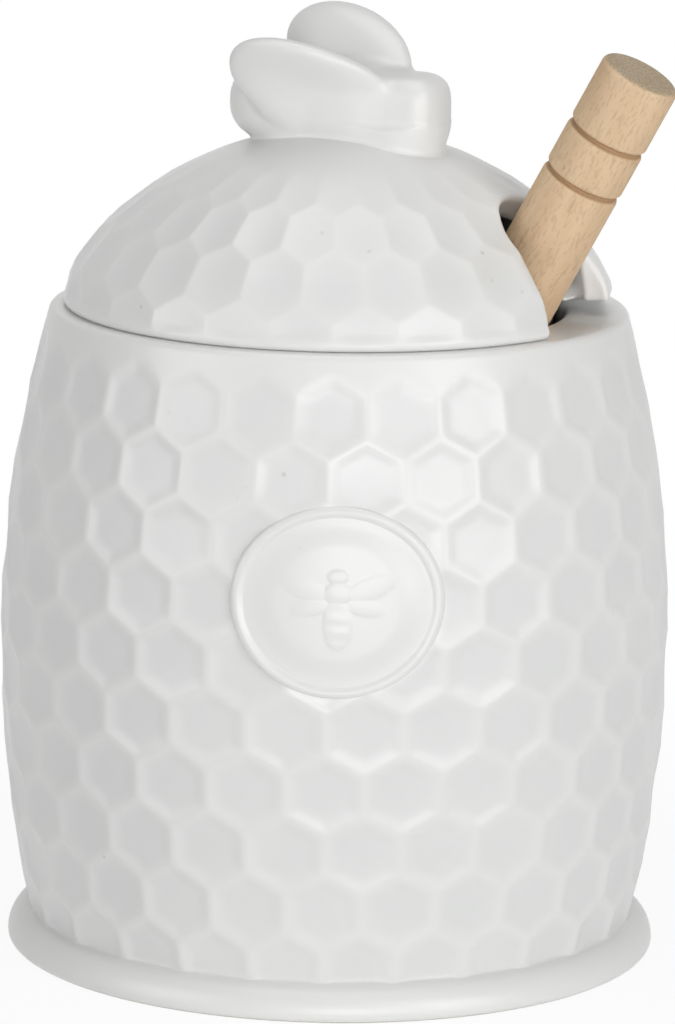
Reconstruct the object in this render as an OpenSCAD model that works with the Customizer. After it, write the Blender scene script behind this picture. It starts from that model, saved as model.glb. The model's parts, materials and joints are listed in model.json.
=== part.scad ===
// Glazed white stoneware honey pot with honeycomb walls, a domed lift-off lid
// with a bee knob, and a beech honey dipper that leans out through the lid's notch.
// The pot stands on z = 0 with its axis on Z. The front, with the medallion, faces -Y.

/* [Pot] */
// Height from the table to the flat ledge that carries the lid
pot_h = 96.8; // [88:0.1:110]
// Width across the belly, over the honeycomb ridges
belly_d = 100.2; // [94:0.1:112]
// Height of the widest line of the belly
belly_level = 48; // [42:0.5:54]
// Width at the rim, before its edge is rounded
rim_d = 85.7; // [83:0.1:90]
// Width of the waist just above the foot
waist_d = 91.3; // [86:0.1:94]
// Width of the foot
foot_d = 97.6; // [95:0.1:110]
// Height of the foot's rounded flange
foot_h = 5.3; // [4:0.1:6.5]
// Rounding of the foot's bottom edge
foot_base_round = 1; // [0.6:0.1:2]
// Width of the bare ring that the pot stands on
foot_ring_w = 6; // [4:0.5:8]
// Depth of the hollow inside the foot ring
foot_recess = 1.5; // [0.8:0.1:2.2]
// Thickness of the pot's wall
pot_wall = 4.5; // [3.5:0.1:6]
// Height of the inside floor above the table
pot_floor = 6; // [5:0.1:8]
// Rounding between the inside floor and the wall
floor_round = 8; // [4:0.5:12]
// Width of the mouth that the lid's collar drops into
mouth_d = 67; // [60:0.5:70]
// Thickness of the ledge round the mouth
ledge_t = 4.5; // [3.5:0.1:6]
// Rounding under the ledge, where it meets the wall
ledge_round = 5; // [2:0.5:8]
// Rounding of the mouth's upper edge
lip_round = 1.0; // [0.5:0.1:1.5]
// Rounding of the rim's outer edge
rim_round = 1.1; // [0.5:0.1:1.6]

/* [Honeycomb] */
// Number of cells in one ring, on the pot and on the lid
cells = 27; // [21:1:32]
// Height from one row of cells to the next on the pot
pot_pitch = 9.04; // [8:0.02:11]
// Depth of the pot's cells below their ridges
pot_cell_depth = 0.7; // [0.4:0.05:1]
// Plain band between the pot's top row and the ledge
pot_band = 2.5; // [2:0.1:5]
// Height from one row of cells to the next on the lid, along the dome
lid_pitch = 9.2; // [8.4:0.1:10]
// Number of rows on the lid, the lowest one cut by the lid's edge
lid_rows = 4; // [3:1:4]
// Depth of the lid's cells below their ridges
lid_cell_depth = 0.6; // [0.4:0.05:0.9]
// Part of a cell taken by the slope from its ridge to its floor
slope_share = 0.32; // [0.2:0.01:0.4]
// Direction of the first cell's centre
comb_turn = -91.3; // [-180:0.1:180]

/* [Medallion] */
// Width of the oval medallion
medal_w = 30.8; // [24:0.2:36]
// Height of the oval medallion
medal_h = 27.6; // [22:0.2:32]
// Height of the medallion's centre
medal_level = 62.3; // [56:0.5:68]
// Direction that the medallion faces
medal_turn = -89.5; // [-180:0.5:180]
// Width of the raised rim round the medallion
medal_rim_w = 1.8; // [1:0.1:2.2]
// Width of the groove inside the raised rim
medal_groove_w = 1.1; // [0.6:0.1:2]
// Height of the raised rim over the pot's ridges
medal_rim_rise = 0.75; // [0.5:0.05:1.2]
// Height of the smooth field over the pot's ridges
medal_field_rise = 0.3; // [0.1:0.05:0.6]
// Depth that the medallion is let into the wall
medal_inset = 1.2; // [1:0.1:1.6]

/* [Lid] */
// Largest width of the lid
lid_d = 82.6; // [79:0.1:83.4]
// Height of the dome's top above the ledge
lid_h = 26.3; // [25:0.1:30]
// Radius of the dome's crown
crown_round = 50; // [46:0.5:54]
// Radius of the dome's turned-down edge
lid_edge_round = 17.5; // [15:0.5:20]
// Rounding of the lid's bottom edge
lid_lip_round = 1.3; // [0.8:0.1:1.8]
// Thickness of the dome
lid_wall = 4.8; // [4:0.1:5.5]
// Thickness of the flange that sits on the ledge
lid_flange_t = 4.5; // [3.5:0.1:5.5]
// Depth of the collar that centres the lid in the mouth
collar_h = 5; // [3:0.5:7]
// Thickness of the collar
collar_t = 3; // [2.4:0.1:4]

/* [Notch] */
// Width of the round bite that lets the dipper out
notch_d = 22.4; // [20:0.2:26]
// Height over the ledge at which the dipper's axis crosses the bite's centre
notch_level = 23.9; // [22:0.1:27]
// Length of the flare inside the dome, along the handle
flare_l = 13; // [10:0.5:15]
// Widening of the passage at the flare's lower end, on each side
flare_w = 4.8; // [3:0.1:5.4]
// Width of the wider relief under the lid's edge, beside the bite
relief_d = 40.8; // [38.8:0.2:42]
// Height of the relief over the ledge
relief_h = 2.2; // [1:0.1:2.5]
// Distance of the relief's centre from the pot's axis
relief_out = 45.4; // [44.4:0.2:46.6]
// Direction in which the relief opens
relief_turn = -14.5; // [-20:0.5:-12]

/* [Bee knob] */
// Length of the bee's abdomen
abdomen_l = 17.4; // [14:0.2:20]
// Width of the bee's abdomen
abdomen_w = 16; // [13:0.2:18]
// Distance of the abdomen's centre behind the pot's axis
abdomen_back = 8.5; // [6:0.1:10]
// Length of the bee's chest
chest_l = 16; // [12:0.2:18]
// Width of the bee's chest
chest_w = 14.4; // [12:0.2:16]
// Distance of the chest's centre in front of the pot's axis
chest_front = 2; // [0:0.1:4]
// Length of the bee's head
head_l = 11.2; // [9:0.2:13]
// Width of the bee's head
head_w = 11.6; // [9:0.2:13]
// Distance of the head's centre in front of the pot's axis
head_front = 10.8; // [10:0.1:14]
// Height of the bee's body from belly to back
bee_h = 12.6; // [10:0.1:14]
// Height of the bee's head
head_h = 11; // [9:0.1:12]
// Height of the body's middle above the dome's top
bee_rise = 3.8; // [3.5:0.1:5]
// Width of the bee's base where it stands on the dome
base_w = 13; // [10:0.2:14]
// Length of the bee's base
base_l = 29.4; // [27:0.1:31]
// Shift of the base towards the bee's head
base_front = 1.4; // [0:0.1:2]
// Depth that the base is let into the dome, below its top
base_inset = 4.1; // [3.8:0.1:4.5]

/* [Bee wings] */
// Length of each wing
wing_l = 23.8; // [20:0.2:26]
// Width of each wing at its middle
wing_w = 14.4; // [12:0.2:16]
// Thickness of each wing
wing_t = 4.5; // [3:0.1:5]
// Share by which a wing is broader towards its tip
wing_taper = 0.1; // [0:0.05:0.4]
// Sag of a wing's long edges below its middle
wing_sag = 2; // [0:0.1:3]
// Distance of a wing's centre behind the pot's axis
wing_back = 2; // [0:0.1:4]
// Distance of a wing's centre from the bee's middle
wing_out = 7; // [6:0.1:8]
// Height of a wing's centre above the dome's top
wing_rise = 9.5; // [8.5:0.1:11]
// Angle by which the wings open towards their tips
wing_spread = 17; // [10:1:25]
// Angle by which a wing's tip points up
wing_pitch = 14; // [5:1:20]
// Angle by which a wing's outer edge is raised
wing_tilt = 66; // [55:1:75]
// Angle by which the pair of wings leans to the bee's right
wing_lean = 7.5; // [0:0.5:12]

/* [Dipper] */
// Length of the dipper from its rounded end to its top
dipper_l = 145.4; // [130:0.2:165]
// Width of the handle
handle_d = 12; // [9:0.1:13]
// Radius of the dipper's rounded lower end
tip_round = 8; // [6:0.1:9]
// Width of the grooved head
head_d = 25; // [20:0.5:28]
// Number of discs on the head
discs = 6; // [4:1:7]
// Thickness of one disc
disc_t = 3.2; // [2.4:0.1:4]
// Gap between two discs
disc_gap = 2.4; // [1.6:0.1:3]
// Width of the core between the discs
core_d = 11; // [8:0.5:12]
// Distance of the rounded end's centre behind the pot's axis
tip_back = 18.5; // [12:0.5:22]
// Direction in which the dipper leans and the notch opens
dipper_turn = -25; // [-60:1:0]
// Distance from the handle's top to the first ring groove
groove_first = 10.2; // [6:0.1:14]
// Distance from one ring groove to the next
groove_step = 7.6; // [5:0.1:10]
// Number of ring grooves
grooves = 2; // [1:1:4]
// Width of a ring groove
groove_w = 1.15; // [0.8:0.05:2]
// Depth of a ring groove
groove_depth = 0.7; // [0.4:0.05:1]
// Rounding of the handle's top edge
handle_round = 1; // [0.4:0.1:2]

/* [Fits] */
// Gap all round between the collar and the mouth
collar_gap = 0.8; // [0.5:0.1:1.5]
// Gap between the resting dipper and the pot
rest_gap = 0.3; // [0.2:0.05:0.6]
// Gap between the handle and its passage through the lid
passage_gap = 1.6; // [1:0.1:2.2]
// Gap on each side of the handle in the collar's slot, as the lid is lifted
slot_gap = 2.4; // [1.6:0.1:3]
// Gap round a piece that is let into another
seat_gap = 0.05; // [0.03:0.01:0.15]

/* [Hidden] */
$fn = 96;

glaze_white = [0.93, 0.93, 0.92];
beech = [0.80, 0.68, 0.54];

// How far a cutting shape runs past the face that it cuts
over = 1;
// Straight steps in a small rounding, a rounding, a flange and a long curve
small_steps = 2;
round_steps = 3;
flange_steps = 6;
curve_steps = 9;
// Step used to read a profile's slope
feel = 0.05;

belly_r = belly_d / 2;
rim_r = rim_d / 2;
waist_r = waist_d / 2;
foot_r = foot_d / 2;
mouth_r = mouth_d / 2;
foot_round = foot_h - foot_base_round;
ring_out_r = foot_r - foot_base_round;
ring_in_r = ring_out_r - foot_ring_w;
ledge_under = pot_h - ledge_t;

// Radius over the pot's ridges at height z
function pot_r(z) = z > belly_level
    ? belly_r - (belly_r - rim_r) * pow((z - belly_level) / (pot_h - belly_level), 2)
    : belly_r - (belly_r - waist_r) * pow((belly_level - z) / (belly_level - foot_h), 2.2);

// Points of an arc in a profile
function arc(c, r, a0, a1, steps) =
    [for (i = [0 : steps]) let (a = a0 + (a1 - a0) * i / steps) c + r * [cos(a), sin(a)]];

// Profile of the lid: a small arc at the edge that runs smoothly into the crown
lid_r = lid_d / 2;
lid_top = pot_h + lid_h;
crown_c = [0, lid_top - crown_round];
edge_c = crown_c + [lid_r - lid_edge_round,
    sqrt(pow(crown_round - lid_edge_round, 2) - pow(lid_r - lid_edge_round, 2))];
join_a = acos((lid_r - lid_edge_round) / (crown_round - lid_edge_round));
start_a = asin((pot_h + lid_lip_round - edge_c[1]) / lid_edge_round);
turn_per_mm = 180 / PI;
edge_l = lid_edge_round * (join_a - start_a) / turn_per_mm;
dome_l = edge_l + crown_round * (90 - join_a) / turn_per_mm;

// Point of the lid's outer profile at a distance s up the dome from its edge
function lid_point(s) = s < edge_l
    ? let (a = start_a + s / lid_edge_round * turn_per_mm)
        edge_c + lid_edge_round * [cos(a), sin(a)]
    : let (a = join_a + (s - edge_l) / crown_round * turn_per_mm)
        crown_c + crown_round * [cos(a), sin(a)];

lid_start = lid_point(0);
seat_out_r = lid_start[0] - lid_lip_round;
collar_r = mouth_r - collar_gap;
collar_in_r = collar_r - collar_t;

// The dipper stands on the floor and leans against the mouth's rounded edge
handle_r = handle_d / 2;
tip_level = pot_floor + rest_gap + tip_round;
lip_c = [mouth_r + lip_round, pot_h - lip_round];
tip_to_lip = lip_c - [-tip_back, tip_level];
lean = atan2(tip_to_lip[0], tip_to_lip[1])
    - asin((handle_r + rest_gap + lip_round) / norm(tip_to_lip));

// Distance of the dipper's axis from the pot's axis at height z
function dipper_reach(z) = (z - tip_level) * tan(lean) - tip_back;

notch_r = notch_d / 2;
notch_reach = dipper_reach(pot_h + notch_level);
slot_w = handle_d + 2 * slot_gap;

// Corner of the honeycomb on a ring at step m, for a profile point p
comb_step = 180 / cells;
function on_ring(p, m) =
    [p[0] * cos(comb_turn + m * comb_step), p[0] * sin(comb_turn + m * comb_step), p[1]];

// Level of the zigzag above row k at step m, or the flat end below the last row
function comb_level(top, pitch, rows, end, k, m) = k == rows ? end
    : top - pitch * (k + 1 / 3) + ((m + k) % 2 == 0 ? pitch / 3 : 0);

// The six corners of a cell as [zigzag, step], clockwise from its top
function cell_corners(row, c) =
    [[row, c], [row, c + 1], [row + 1, c + 1], [row + 1, c], [row + 1, c - 1], [row, c - 1]];

// The flat floor of a cell: its corners drawn in and sunk below the ridges
function cell_floor(prof, top, pitch, rows, end, depth, row, c) =
    let (corners = cell_corners(row, c))
    let (levels = [for (q = corners) comb_level(top, pitch, rows, end, q[0], q[1])])
    let (mid = (levels * [1, 1, 1, 1, 1, 1]) / 6)
    let (rise = prof(mid + feel) - prof(mid - feel))
    let (out = [rise[1], -rise[0]] / norm(rise))
    let (centre = on_ring(prof(mid) - depth * out, c))
    let (facing = on_ring(out, c))
    [for (i = [0 : 5])
        let (m = c + (corners[i][1] - c) * (1 - slope_share))
        let (p = on_ring(prof(mid + (levels[i] - mid) * (1 - slope_share)), m))
        p - facing * ((p - centre) * facing)];

// A closed round body with plain rings above and below its rows of cells.
// prof gives [radius, height] at a level, and depths holds one depth for each row.
module comb_body(prof, top_rings, top_z, top, pitch, rows, end, depths, low_rings) {
    n = 2 * cells;
    above = len(top_rings);
    rings = above + rows + 1 + len(low_rings);
    low_z = low_rings[len(low_rings) - 1][1];
    floors_at = rings * n + 2;
    points = concat(
        [[0, 0, top_z]],
        [for (p = top_rings) for (m = [0 : n - 1]) on_ring(p, m)],
        [for (k = [0 : rows]) for (m = [0 : n - 1])
            on_ring(prof(comb_level(top, pitch, rows, end, k, m)), m)],
        [for (p = low_rings) for (m = [0 : n - 1]) on_ring(p, m)],
        [[0, 0, low_z]],
        [for (row = [0 : rows - 1]) for (i = [0 : cells - 1])
            each cell_floor(prof, top, pitch, rows, end, depths[row], row, 2 * i + row % 2)]
    );
    at = function (ring, m) 1 + ring * n + (m + n) % n;
    faces = concat(
        [for (m = [0 : n - 1]) [0, at(0, m + 1), at(0, m)]],
        [for (ring = [0 : above - 2]) for (m = [0 : n - 1])
            [at(ring, m), at(ring, m + 1), at(ring + 1, m + 1), at(ring + 1, m)]],
        [for (m = [0 : n - 1]) each [
            [at(above - 1, m), at(above - 1, m + 1), at(above, m + 1)],
            [at(above - 1, m), at(above, m + 1), at(above, m)]]],
        [for (row = [0 : rows - 1]) for (i = [0 : cells - 1])
            let (corners = cell_corners(row, 2 * i + row % 2))
            let (low = floors_at + 6 * (row * cells + i))
            each concat(
                [[for (j = [0 : 5]) low + j]],
                [for (j = [0 : 5])
                    let (a = at(above + corners[j][0], corners[j][1]))
                    let (next = (j + 1) % 6)
                    let (b = at(above + corners[next][0], corners[next][1]))
                    each [[a, b, low + next], [a, low + next, low + j]]])],
        [for (ring = [above + rows : rings - 2]) for (m = [0 : n - 1])
            [at(ring, m), at(ring, m + 1), at(ring + 1, m + 1), at(ring + 1, m)]],
        [for (m = [0 : n - 1]) [rings * n + 1, at(rings - 1, m), at(rings - 1, m + 1)]]
    );
    polyhedron(points, faces);
}

pot_comb_top = pot_h - pot_band;
pot_comb_end = foot_h;
pot_rows = 1 + floor((pot_comb_top - pot_comb_end) / pot_pitch - 0.5);

module pot_outside() {
    edge_r = pot_r(pot_h - rim_round);
    // The flange's arc starts in the crease under the wall
    crease_a = 80;
    comb_body(
        function (z) [pot_r(z), z],
        concat(
            arc([edge_r - rim_round, pot_h - rim_round], rim_round, 90, 0, round_steps),
            [[pot_r(pot_comb_top + pot_band / 5), pot_comb_top + pot_band / 5]]),
        pot_h,
        pot_comb_top, pot_pitch, pot_rows, pot_comb_end,
        [for (i = [1 : pot_rows]) pot_cell_depth],
        concat(
            arc([foot_r - foot_round, foot_base_round], foot_round, crease_a, 0, flange_steps),
            arc([ring_out_r, foot_base_round], foot_base_round, -30, -90, small_steps))
    );
}

module pot_hollow() {
    round_z = pot_floor + floor_round;
    arch_z = ledge_under - ledge_round;
    wall_steps = 12;
    // The arch under the ledge starts where it leaves the wall's slope
    arch_a = 15;
    rotate_extrude()
        polygon(concat(
            [[0, pot_floor]],
            arc([pot_r(round_z) - pot_wall - floor_round, round_z], floor_round, -90, 0,
                flange_steps),
            [for (i = [1 : wall_steps])
                let (z = round_z + (arch_z - round_z) * i / wall_steps)
                [pot_r(z) - pot_wall, z]],
            arc([pot_r(arch_z) - pot_wall - ledge_round, arch_z], ledge_round, arch_a, 90,
                flange_steps),
            [[mouth_r, ledge_under]],
            arc(lip_c, lip_round, 180, 90, round_steps),
            [[lip_c[0], pot_h + over], [0, pot_h + over]]
        ));
}

module foot_hollow() {
    translate([0, 0, -over])
        cylinder(h = over + foot_recess, r = ring_in_r);
}

module pot() {
    color(glaze_white)
        difference() {
            pot_outside();
            pot_hollow();
            foot_hollow();
            medal_seat();
        }
}

// An oval bar that runs outwards from the pot's axis at the medallion's place
module medal_bar(shrink) {
    sides = 48;
    translate([0, 0, medal_level])
        rotate([0, 0, medal_turn + 90])
            rotate([90, 0, 0])
                linear_extrude(height = belly_r + medal_rim_rise + over)
                    polygon([for (i = [0 : sides - 1])
                        [(medal_w / 2 - shrink) * cos(360 * i / sides),
                        (medal_h / 2 - shrink) * sin(360 * i / sides)]]);
}

// A solid of the pot's shape, grown or shrunk, over the medallion's height
module medal_band(grow) {
    steps = 8;
    half = medal_h / 2 + over;
    rotate_extrude()
        polygon(concat(
            [[0, medal_level - half]],
            [for (i = [0 : steps])
                let (z = medal_level - half + 2 * half * i / steps)
                [pot_r(z) + grow, z]],
            [[0, medal_level + half]]
        ));
}

module medal_seat() {
    difference() {
        medal_bar(-seat_gap);
        medal_band(-medal_inset);
    }
}

module medallion() {
    field_edge = medal_rim_w + medal_groove_w;
    color(glaze_white)
        difference() {
            union() {
                intersection() {
                    medal_bar(0);
                    medal_band(0);
                }
                intersection() {
                    medal_bar(field_edge);
                    medal_band(medal_field_rise);
                }
                difference() {
                    intersection() {
                        medal_bar(0);
                        medal_band(medal_rim_rise);
                    }
                    medal_bar(medal_rim_w);
                }
            }
            medal_band(-medal_inset);
        }
}

lid_comb_end = lid_lip_round;
lid_comb_top = lid_comb_end + lid_pitch * (lid_rows - 1 / 2);
// Rows that grow shallow towards the crown, and the plain band above them
fading_rows = 3;
crown_band = lid_pitch / 8;

module lid_outside() {
    smooth_from = lid_comb_top + crown_band;
    smooth_steps = 5;
    depths = [for (i = [1 : lid_rows]) lid_cell_depth * min(1, i / fading_rows)];
    comb_body(
        function (s) lid_point(s),
        [for (i = [1 : smooth_steps])
            lid_point(dome_l + (smooth_from - dome_l) * i / smooth_steps)],
        lid_top,
        lid_comb_top, lid_pitch, lid_rows, lid_comb_end,
        depths,
        concat(
            [lid_start],
            arc([seat_out_r, pot_h + lid_lip_round], lid_lip_round, -30, -90, small_steps))
    );
}

// The inside of the dome: a parallel crown and edge down to the flange
module lid_hollow() {
    flange_z = pot_h + lid_flange_t;
    inner_round = lid_edge_round - lid_wall;
    low_a = asin((flange_z - edge_c[1]) / inner_round);
    neck_round = 1.5;
    crown_step = (90 - join_a) / curve_steps;
    rotate_extrude()
        polygon(concat(
            [[0, pot_h - collar_h - over], [collar_in_r, pot_h - collar_h - over]],
            arc([collar_in_r + neck_round, flange_z - neck_round], neck_round, 180, 90,
                round_steps),
            arc(edge_c, inner_round, low_a, join_a, flange_steps),
            arc(crown_c, crown_round - lid_wall, join_a + crown_step, 90, curve_steps - 1)
        ));
}

module collar() {
    collar_round = 1;
    rotate_extrude()
        polygon(concat(
            [[0, pot_h - collar_h]],
            arc([collar_r - collar_round, pot_h - collar_h + collar_round], collar_round,
                -90, 0, round_steps),
            [[collar_r, pot_h + lid_flange_t / 2], [0, pot_h + lid_flange_t / 2]]
        ));
}

// The shape that the dipper's place takes out of the lid: an upright bite, a low relief
// beside it, a slanted passage that flares inside the dome, and a slot in the collar that
// lets the lid be lifted off
module notch() {
    low = pot_h - collar_h - over;
    flange_z = pot_h + lid_flange_t;
    passage_r = handle_r + passage_gap;
    slot_from = dipper_reach(low) - handle_r / 2;
    rotate([0, 0, relief_turn])
        translate([relief_out, 0, low])
            cylinder(h = pot_h + relief_h - low, d = relief_d);
    rotate([0, 0, dipper_turn]) {
        translate([notch_reach, 0, low])
            cylinder(h = lid_top - low, r = notch_r);
        translate([-tip_back, 0, tip_level])
            rotate([0, lean, 0]) {
                cylinder(h = dipper_l, r = passage_r);
                translate([0, 0, (flange_z - tip_level) / cos(lean)])
                    cylinder(h = flare_l, r1 = passage_r + flare_w, r2 = passage_r);
            }
        translate([slot_from, -slot_w / 2, low])
            cube([notch_reach - slot_from, slot_w, flange_z - low]);
    }
}

module lid() {
    color(glaze_white)
        difference() {
            union() {
                lid_outside();
                collar();
            }
            lid_hollow();
            notch();
            knob_base(seat_gap);
        }
}

bee_level = lid_top + bee_rise;
// Boxiness of the body and of the head, where 2 is an ellipse
body_power = 2.4;
head_power = 3.2;
// Centre, half length, half width, half height and boxiness of abdomen, chest and head
bee_lobes = [
    [-abdomen_back, abdomen_l / 2, abdomen_w / 2, bee_h / 2, body_power],
    [chest_front, chest_l / 2, chest_w / 2, bee_h / 2, body_power],
    [head_front, head_l / 2, head_w / 2, head_h / 2, head_power]
];
// Roundness of the joints between the bee's three lobes
lobe_blend = 5;

// Size of one lobe at u along the bee, on a scale of 0 to 1
function lobe_at(lobe, u) =
    let (t = abs(u - lobe[0]) / lobe[1])
    t < 1 ? pow(1 - pow(t, lobe[4]), 1 / lobe[4]) : 0;

// Half width, for side 2, or half height, for side 3, of the blended body at u
function bee_half(side, u) =
    pow([for (q = bee_lobes) pow(q[side] * lobe_at(q, u), lobe_blend)] * [1, 1, 1],
        1 / lobe_blend);

// Boxiness of the body's cross-section at u, which grows from the chest to the head
function section_power(u) =
    let (t = (u - chest_front) / (head_front - chest_front))
    body_power + (head_power - body_power) * max(0, min(1, t));

// Cosine or sine c drawn out to a boxier curve
function boxy(c, power) = sign(c) * pow(abs(c), 2 / power);

// The oval base under the bee, let into the dome
module knob_base(grow) {
    reach = (base_l - base_w) / 2;
    translate([0, 0, lid_top - base_inset])
        rotate([0, 0, dipper_turn])
            linear_extrude(height = base_inset + bee_rise)
                hull()
                    for (side = [-1, 1])
                        translate([base_front + side * reach, 0])
                            circle(r = base_w / 2 + grow, $fn = 48);
}

// The bee's rounded body, swept from tail to head in rings
module bee_shape() {
    rings = 22;
    sides = 28;
    tail = -abdomen_back - abdomen_l / 2;
    nose = head_front + head_l / 2;
    points = concat(
        [[tail, 0, 0]],
        [for (i = [1 : rings])
            let (u = (tail + nose) / 2 - (nose - tail) / 2 * cos(180 * i / (rings + 1)))
            for (j = [0 : sides - 1])
                let (a = 360 * j / sides)
                let (power = section_power(u))
                [u, bee_half(2, u) * boxy(cos(a), power), bee_half(3, u) * boxy(sin(a), power)]],
        [[nose, 0, 0]]
    );
    last = rings * sides + 1;
    at = function (ring, j) 1 + ring * sides + j % sides;
    faces = concat(
        [for (j = [0 : sides - 1]) [0, at(0, j), at(0, j + 1)]],
        [for (ring = [0 : rings - 2]) for (j = [0 : sides - 1]) each [
            [at(ring, j), at(ring + 1, j), at(ring + 1, j + 1)],
            [at(ring, j), at(ring + 1, j + 1), at(ring, j + 1)]]],
        [for (j = [0 : sides - 1]) [last, at(rings - 1, j + 1), at(rings - 1, j)]]
    );
    translate([0, 0, bee_level])
        polyhedron(points, faces);
}

module knob_body() {
    color(glaze_white)
        union() {
            knob_base(0);
            rotate([0, 0, dipper_turn])
                bee_shape();
        }
}

// One petal-shaped wing on the bee's left, in the bee's own directions
module wing_shape() {
    rings = 9;
    sides = 32;
    half_l = wing_l / 2;
    half_w = wing_w / 2;
    // Below 1 the outline is fuller than an ellipse in the rings near the flat faces
    edge_power = 0.6;
    plate = function (y) -wing_sag * pow(y / half_w, 2);
    points = concat(
        [[0, 0, wing_t / 2]],
        [for (i = [1 : rings - 1])
            let (lift = 180 * i / rings)
            let (f = pow(sin(lift), edge_power))
            for (j = [0 : sides - 1])
                let (a = 360 * j / sides)
                let (x = half_l * f * cos(a))
                let (y = half_w * f * (1 + wing_taper * cos(a)) * sin(a))
                [x, y, plate(y) + wing_t / 2 * cos(lift)]],
        [[0, 0, -wing_t / 2]]
    );
    last = (rings - 1) * sides + 1;
    at = function (ring, j) 1 + ring * sides + j % sides;
    faces = concat(
        [for (j = [0 : sides - 1]) [0, at(0, j + 1), at(0, j)]],
        [for (ring = [0 : rings - 3]) for (j = [0 : sides - 1]) each [
            [at(ring, j), at(ring, j + 1), at(ring + 1, j + 1)],
            [at(ring, j), at(ring + 1, j + 1), at(ring + 1, j)]]],
        [for (j = [0 : sides - 1]) [last, at(rings - 2, j), at(rings - 2, j + 1)]]
    );
    translate([-wing_back, -wing_out, lid_top + wing_rise])
        rotate([wing_tilt, -wing_pitch, 180 + wing_spread])
            polyhedron(points, faces);
}

// A wing on one side of the bee, where side 1 mirrors it and the pair leans to the right
module wing_on_bee(side) {
    color(glaze_white)
        rotate([0, 0, dipper_turn])
            difference() {
                translate([0, 0, bee_level])
                    rotate([wing_lean, 0, 0])
                        translate([0, 0, -bee_level])
                            mirror([0, side, 0])
                                wing_shape();
                bee_shape();
            }
}

module knob_wing_right() wing_on_bee(0);
module knob_wing_left() wing_on_bee(1);

// Outline of the dipper, [radius, distance above the rounded end's centre]
handle_top = dipper_l - tip_round;
disc_pitch = disc_t + disc_gap;
head_top = discs * disc_pitch;
// Half length of the oval that the grooved head is cut from, as a share of the head's
head_oval = 1.6;
// Length of the cone between the top disc and the handle
shoulder = 4;
// Part of a ring groove's width taken by each of its sloping sides
groove_side = 0.35;

// Radius of the grooved head at a distance x above the rounded end's centre
function head_r(x) =
    let (half = head_top / 2)
    head_d / 2 * sqrt(1 - pow((x - half) / (half * head_oval), 2));

module dipper_profile() {
    core_r = core_d / 2;
    low_r = handle_r - groove_depth;
    side_w = groove_w * groove_side;
    polygon(concat(
        arc([0, 0], tip_round, -90, 0, curve_steps),
        [for (i = [0 : discs - 1])
            let (low = disc_gap + i * disc_pitch)
            each [[core_r, i == 0 ? 0 : low - disc_gap], [core_r, low],
                [head_r(low), low], [head_r(low + disc_t), low + disc_t]]],
        [[handle_r, head_top + shoulder]],
        [for (i = [grooves - 1 : -1 : 0])
            let (lip = handle_top - groove_first - i * groove_step)
            each [[handle_r, lip - groove_w], [low_r, lip - groove_w + side_w],
                [low_r, lip - side_w], [handle_r, lip]]],
        arc([handle_r - handle_round, handle_top - handle_round], handle_round, 0, 90,
            round_steps),
        [[0, handle_top]]
    ));
}

module dipper() {
    color(beech)
        rotate([0, 0, dipper_turn])
            translate([-tip_back, 0, tip_level])
                rotate([0, lean, 0])
                    rotate_extrude()
                        dipper_profile();
}

pot();
medallion();
lid();
knob_body();
knob_wing_left();
knob_wing_right();
dipper();
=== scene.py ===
"""Looks of a white stoneware honey pot: a honeycomb pot with a medallion, a domed lid
with a bee knob, and a turned beech dipper that leans out through the lid's notch.

Every length is in metres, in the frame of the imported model: the pot stands on z = 0,
its axis is Z and its front faces -Y.
"""
import json
import math

import bpy
import numpy as np
from bpy.props import FloatProperty, FloatVectorProperty, IntProperty, PointerProperty
from mathutils import Matrix, Vector


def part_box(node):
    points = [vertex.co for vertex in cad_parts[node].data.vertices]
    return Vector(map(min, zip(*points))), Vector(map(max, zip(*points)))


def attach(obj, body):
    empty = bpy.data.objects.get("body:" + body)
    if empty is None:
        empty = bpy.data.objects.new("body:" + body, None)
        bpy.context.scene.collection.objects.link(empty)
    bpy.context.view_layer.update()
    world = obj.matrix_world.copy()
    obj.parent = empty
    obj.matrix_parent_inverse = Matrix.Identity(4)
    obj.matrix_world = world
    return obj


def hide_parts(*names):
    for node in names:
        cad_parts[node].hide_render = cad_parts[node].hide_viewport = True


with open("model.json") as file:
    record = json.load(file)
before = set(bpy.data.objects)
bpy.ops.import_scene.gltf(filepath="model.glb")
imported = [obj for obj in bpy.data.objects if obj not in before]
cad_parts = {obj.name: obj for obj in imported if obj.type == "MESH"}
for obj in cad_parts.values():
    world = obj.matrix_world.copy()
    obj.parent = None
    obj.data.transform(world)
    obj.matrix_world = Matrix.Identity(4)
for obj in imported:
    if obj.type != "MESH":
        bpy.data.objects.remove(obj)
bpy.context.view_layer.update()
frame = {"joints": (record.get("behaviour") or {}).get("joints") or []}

bl_info = {
    "name": "Honey pot",
    "version": (1, 0, 0),
    "blender": (4, 5, 0),
    "location": "3D View > Sidebar > Honey Pot",
    "description": "Builds the looks of a honeycomb pot, its lid and its dipper",
    "category": "Object",
}

MM = 0.001

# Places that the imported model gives
POT_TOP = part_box("pot")[1].z
COLLAR_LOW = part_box("lid")[0].z
TIP_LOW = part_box("dipper")[0].z
PULL = Vector(next(j for j in frame["joints"] if j["name"] == "dipper_pull")["axis"])
LEAN = math.acos(PULL.z)
DIPPER_TURN = math.atan2(PULL.y, PULL.x)

# Size of the photograph, which sets the camera's shift
PHOTO_W = 675
PHOTO_H = 1024
SENSOR_W = 36

# The lamps' places and sizes, and the point that they face
LIT_POINT = (0, 0, 0.07)
LAMPS = {
    "key": ((0.55, -0.80, 0.60), (0.5, 0.5)),
    "front": ((0.15, -1.10, 0.15), (0.6, 0.28)),
    "side": ((0.75, -0.75, 0.25), (0.5, 0.6)),
    "fill": ((-0.80, -0.45, 0.30), (0.5, 0.6)),
    "top": ((0.0, 0.0, 0.95), (0.7, 0.7)),
}


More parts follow.
